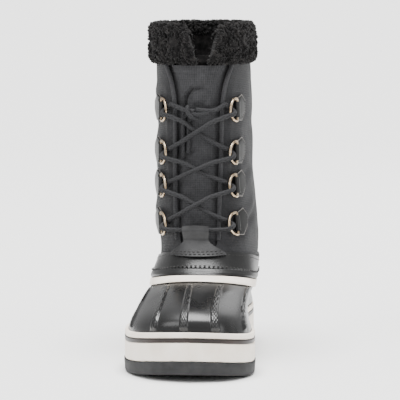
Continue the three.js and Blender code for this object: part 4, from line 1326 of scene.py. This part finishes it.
def make_curls():
    count = 4200
    rng = np.random.default_rng(11)
    a = rng.random(count)
    angle = rng.random(count) * math.tau * 0.73 - 0.49 * math.pi
    ends = rng.random(count) < 0.06
    a = np.where(ends, np.where(a < 0.5, 0.002, 0.998), a)
    angle = np.where(ends, rng.random(count) * math.tau, angle)
    turn, level, out = cuff_place(a, angle)
    centres = out_from(turn, level, out)
    e = 0.02
    turn2, level2, out2 = cuff_place(a, angle + e)
    along = out_from(turn2, level2, out2) - centres
    turn3, level3, out3 = cuff_place(clamp(a + 0.004, 0, 1) - (a > 0.99) * 0.008, angle)
    around = out_from(turn3, level3, out3) - centres
    normals = np.cross(around, along)
    flip = np.where(a > 0.99, -1.0, 1.0)[:, None]
    normals = flip * normals / (np.linalg.norm(normals, axis=1, keepdims=True) + 1e-9)
    places = []
    for k in range(count):
        out_axis = normals[k]
        spin = rng.random() * math.tau
        size = (0.85 + 0.6 * rng.random()) * 1.25
        side = np.cross(out_axis, [0.2, 0.1, 1.0])
        side /= np.linalg.norm(side)
        third = np.cross(out_axis, side)
        x_axis = math.cos(spin) * side + math.sin(spin) * third
        y_axis = np.cross(out_axis, x_axis)
        axes = np.array([x_axis, y_axis, out_axis]) * size * MM
        places.append((axes, (centres[k] + out_axis * 0.15 + SHIFT) * MM))
    scatter("cuff_curls", curl_seed(), places, PILE)


make_lining()
make_cuff()
make_curls()


# Lace rings and tabs
BAR_OUT = FIT + LEATHER + FIT + WIRE / 2


def ring_frame(side, row):
    height = height_up(RING_ROWS[row])
    turn = turn_at(side * BAR_REACH, height)
    level = level_at(turn, height)
    out = upper_normal(turn, level)
    up = upper_point(turn, level + STEP) - upper_point(turn, level - STEP)
    inward = upper_point(turn - side * STEP, level) - upper_point(turn, level)
    centre = out_from(turn, level, BAR_OUT + FIT)
    return centre, out, up / np.linalg.norm(up), inward / np.linalg.norm(inward), float(height)


def ring_place(side, row, along, high, lift_out):
    centre, out, up, inward, _ = ring_frame(side, row)
    return centre + inward * along + up * high + out * lift_out


def make_ring(side, row, label):
    half = (RING_HEIGHT - WIRE) / 2
    deep = RING_DEPTH - WIRE / 2
    outline = [(0, -half * 0.86), (0, -half * 0.3), (0, half * 0.3), (0, half * 0.86), (deep * 0.1, half)]
    for i in range(1, 7):
        angle = i / 7 * math.pi
        outline.append((deep * (0.16 + 0.84 * math.sin(angle)), half * math.cos(angle)))
    outline.append((deep * 0.1, -half))
    points = np.array([ring_place(side, row, a, h, a / deep * 1.2) for a, h in outline])
    wrapped = np.vstack([points[-2:], points, points[:3]])
    fine = through(wrapped, (len(wrapped) - 1) * 8 + 1)
    path = fine[16 : 16 + len(points) * 8]
    piece = closed_tube(path, WIRE / 2, around=12)
    finish_piece(piece, f"brass_ring_{label}_{row + 1}", BRASS, [f"d_ring_{label}_{row + 1}"])


def make_tab(side, row, label):
    centre, _, up, _, height = ring_frame(side, row)

    def half_at(share):
        widening = mix(1.0, 1.25, np.minimum(share / 0.6, 1.0))
        closing = mix(1.25, 0.55, clamp((share - 0.6) / 0.4, 0.0, 1.0))
        return TAB_WIDTH / 2 * np.where(share < 0.6, widening, closing)

    def place(a, b):
        distance = side * (BAR_REACH + 0.6 + a * (TAB_LENGTH + 0.4))
        high = height + a * 2.5 + mix(-1, 1, b) * half_at(a)
        rise = 2.4 * (1 - smooth(a, 0.0, 0.16))
        pad = 0.35 * smooth(a, 0.05, 0.3) * (1 - np.abs(2 * b - 1) ** 4)
        return on_boot(distance, high, 2 * FIT + LEATHER + rise + pad)

    plate = surface(25, 22, place, wall=LEATHER)
    reach = TAB_WIDTH * 0.39
    ends = np.array([centre + up * s * reach for s in np.linspace(-1, 1, 9)])
    sleeve = tube(ends, WIRE / 2 + FIT + LEATHER - 0.3, around=18)
    piece = join([plate, sleeve])
    if side < 0:
        tidy_normals(piece)
    finish_piece(piece, f"leather_tab_{label}_{row + 1}", GLOSS_LEATHER, [f"ring_tab_{label}_{row + 1}"])
    border = [(0.1, -1), (0.6, -1), (1, -1), (1, 1), (0.6, 1), (0.1, 1)]
    line = np.vstack([np.linspace(border[k], border[k + 1], 12)[:-1] for k in range(len(border) - 1)])
    distance = side * (BAR_REACH + 0.6 + line[:, 0] * (TAB_LENGTH + 0.4))
    high = height + line[:, 0] * 2.5 + line[:, 1] * half_at(line[:, 0])
    edge = tube(on_boot(distance, high, 2 * FIT + LEATHER - 0.25 + 0 * high), 0.42, around=6)
    finish_piece(edge, f"tab_cut_edge_{label}_{row + 1}", CUT_EDGE)
    rim = [(0.2, -0.8), (0.62, -0.84), (0.93, -0.72), (0.93, 0.72), (0.62, 0.84), (0.2, 0.8), (0.2, -0.8)]
    line = np.vstack([np.linspace(rim[k], rim[k + 1], 14)[:-1] for k in range(len(rim) - 1)])
    distance = side * (BAR_REACH + 0.6 + line[:, 0] * (TAB_LENGTH + 0.4))
    high = height + line[:, 0] * 2.5 + line[:, 1] * half_at(line[:, 0])
    path = on_boot(distance, high, 2 * FIT + LEATHER + 0.35 + 0 * high)
    turn = turn_at(distance, high)
    outs = upper_normal(turn, level_at(turn, high))
    stitches(f"tab_stitches_{label}_{row + 1}", path, outs, long_mm=1.7, gap_mm=0.9, thick_mm=0.3)


for ring_label, ring_side in (("inner", 1), ("outer", -1)):
    for ring_row in range(len(RING_ROWS)):
        make_ring(ring_side, ring_row, ring_label)
        make_tab(ring_side, ring_row, ring_label)


# Lace
LACE_OUT = LACE / 2 + 1.6
LACE_LOW = LACE / 2 + 0.42
RING_SHIFT = 0.2 * RING_HEIGHT
LACE_REACH = BAR_REACH - RING_DEPTH - LACE / 2 - WIRE


def ring_turn(side, row):
    """The lace's way round a ring's wire, from its lower strand to its upper one."""
    return [
        ring_place(side, row, 15.6, -5.0, 0.6),
        ring_place(side, row, 12.2, -3.9, 4.3),
        ring_place(side, row, 8.8, -2.0, 3.4),
        ring_place(side, row, 7.6, 0.0, 0.6),
        ring_place(side, row, 8.6, 2.0, -1.9),
        ring_place(side, row, 12.2, 3.9, -2.3),
        ring_place(side, row, 15.8, 5.0, -2.6),
    ]


def crossing_run(side, low_row, high_row, over):
    """A strand from a ring up to the ring above on the other side."""
    foot = height_up(RING_ROWS[low_row]) + RING_SHIFT
    top = height_up(RING_ROWS[high_row]) - RING_SHIFT
    points = []
    for share in (0.2, 0.38, 0.5, 0.62, 0.8):
        hump = LACE * 0.88 * math.sin(math.pi * share) if over else 0.0
        distance = side * LACE_REACH * (1 - 2 * share)
        points.append(on_boot(distance, mix(foot, top, share), LACE_OUT + hump))
    return points


def lace_strand(start_side):
    """Half of the lace: from the bar behind the keeper up to the knot."""
    points = []
    side = start_side
    foot = height_up(RING_ROWS[3]) - RING_SHIFT
    for share in (0.0, 0.3, 0.62):
        points.append(on_boot(side * LACE_REACH * share, foot, LACE_LOW))
    for row in (3, 2, 1, 0):
        points += ring_turn(side, row)
        if row:
            points += crossing_run(side, row, row - 1, over=side < 0)
            side = -side
    top = height_up(RING_ROWS[0]) + 0.1 * RING_HEIGHT
    if side > 0:
        ways = [(14, top - 2, 0.6), (KNOT_OFFSET + 9, KNOT_HEIGHT + 1.6, 1.6), (KNOT_OFFSET + 2, KNOT_HEIGHT + 2.6, 2.4)]
    else:
        ways = [(-13, top - 1, 0.4), (KNOT_OFFSET - 4, KNOT_HEIGHT + 1.5, 1.2), (KNOT_OFFSET + 1, KNOT_HEIGHT + 1.0, 1.6)]
    points += [on_boot(d, h, LACE_OUT + out) for d, h, out in ways]
    return np.array(points)


def make_lace():
    for label, side in (("inner", 1), ("outer", -1)):
        points = lace_strand(side)
        path = through(points, len(points) * 9)
        piece = tube(path, LACE / 2, around=12)
        crossings = {
            "inner": ["lace_bar", "lace_crossing_lower"],
            "outer": ["lace_crossing_middle", "lace_crossing_upper"],
        }[label]
        finish_piece(piece, f"lace_strand_{label}", BRAID, crossings)


def make_knot():
    lens = [
        (KNOT_OFFSET - 3, KNOT_HEIGHT - 1.4, 1.2),
        (KNOT_OFFSET + 1, KNOT_HEIGHT - 1.8, 2.6),
        (KNOT_OFFSET + 6, KNOT_HEIGHT - 1.6, 2.4),
        (KNOT_OFFSET + 12, KNOT_HEIGHT - 0.4, 1.2),
    ]
    wrap = [
        (KNOT_OFFSET - 4.8, KNOT_HEIGHT + 5, 1.4),
        (KNOT_OFFSET - 4.6, KNOT_HEIGHT + 3.4, 3.2),
        (KNOT_OFFSET - 4.2, KNOT_HEIGHT, 3.9),
        (KNOT_OFFSET - 1.5, KNOT_HEIGHT - 4, 3.2),
        (KNOT_OFFSET + 3, KNOT_HEIGHT - 6, 1.0),
    ]
    rows = []
    for run in (lens, wrap):
        points = np.array([on_boot(d, h, LACE_OUT + out) for d, h, out in run])
        rows.append(tube(through(points, 36), LACE / 2, around=12))
    piece = join(rows)
    finish_piece(piece, "lace_knot_wraps", BRAID, ["lace_knot"])
    return piece


TUCKED = -0.7


def make_lace_ends(knot):
    for label, distance, end in (("outer", -13.2, 176.0), ("inner", -8.2, 181.0)):
        run = [
            (distance + 2, KNOT_HEIGHT - 3, TUCKED + 0.2),
            (distance + 0.3, KNOT_HEIGHT - 8, TUCKED),
            (distance, KNOT_HEIGHT - 15, TUCKED),
            (distance, mix(KNOT_HEIGHT - 15, end, 0.5), TUCKED),
            (distance, end, TUCKED),
        ]
        points = np.array([on_boot(d, h, out) for d, h, out in run])
        path = through(points, 30)
        piece = tube(path, LACE / 2 - 0.15, around=12)
        finish_piece(piece, f"tucked_lace_end_{label}", BRAID, [f"lace_end_{label}"])


make_lace()
make_lace_ends(make_knot())


# Studio
def make_stage():
    bpy.ops.object.select_all(action="DESELECT")
    bpy.ops.mesh.primitive_plane_add(size=800.0, location=(0, 0, 0))
    floor = bpy.context.object
    floor.name = "studio_floor"
    mat, _, shader = material("white_studio_floor", 0.85)
    shader.inputs["Base Color"].default_value = linear("f4f4f3")
    floor.data.materials.append(mat)
    world = bpy.data.worlds.new("pale_studio")
    world.use_nodes = True
    world.node_tree.nodes["Background"].inputs["Color"].default_value = (1.0, 1.0, 1.0, 1.0)
    world.node_tree.nodes["Background"].inputs["Strength"].default_value = 0.8
    bpy.context.scene.world = world
    data = bpy.data.lights.new("overhead_sky_light", "SUN")
    data.energy = 8.0
    data.angle = math.radians(40)
    lamp = bpy.data.objects.new("overhead_sky_light", data)
    bpy.context.scene.collection.objects.link(lamp)
    lamp.location = (0, 0, 3)
    lamps = [
        ("key_softbox", (-1.3, -1.3, 1.5), 1.0, 15.0),
        ("fill_softbox", (1.5, -1.0, 1.0), 0.9, 8.0),
        ("rear_softbox", (0.6, 1.7, 1.4), 1.2, 8.0),
    ]
    for name, place, size, power in lamps:
        data = bpy.data.lights.new(name, "AREA")
        data.shape = "SQUARE"
        data.size = size
        data.energy = power
        lamp = bpy.data.objects.new(name, data)
        bpy.context.scene.collection.objects.link(lamp)
        lamp.location = place
        aim = Vector((0, 0, 0.13)) - lamp.location
        lamp.rotation_euler = aim.to_track_quat("-Z", "Y").to_euler()


make_stage()
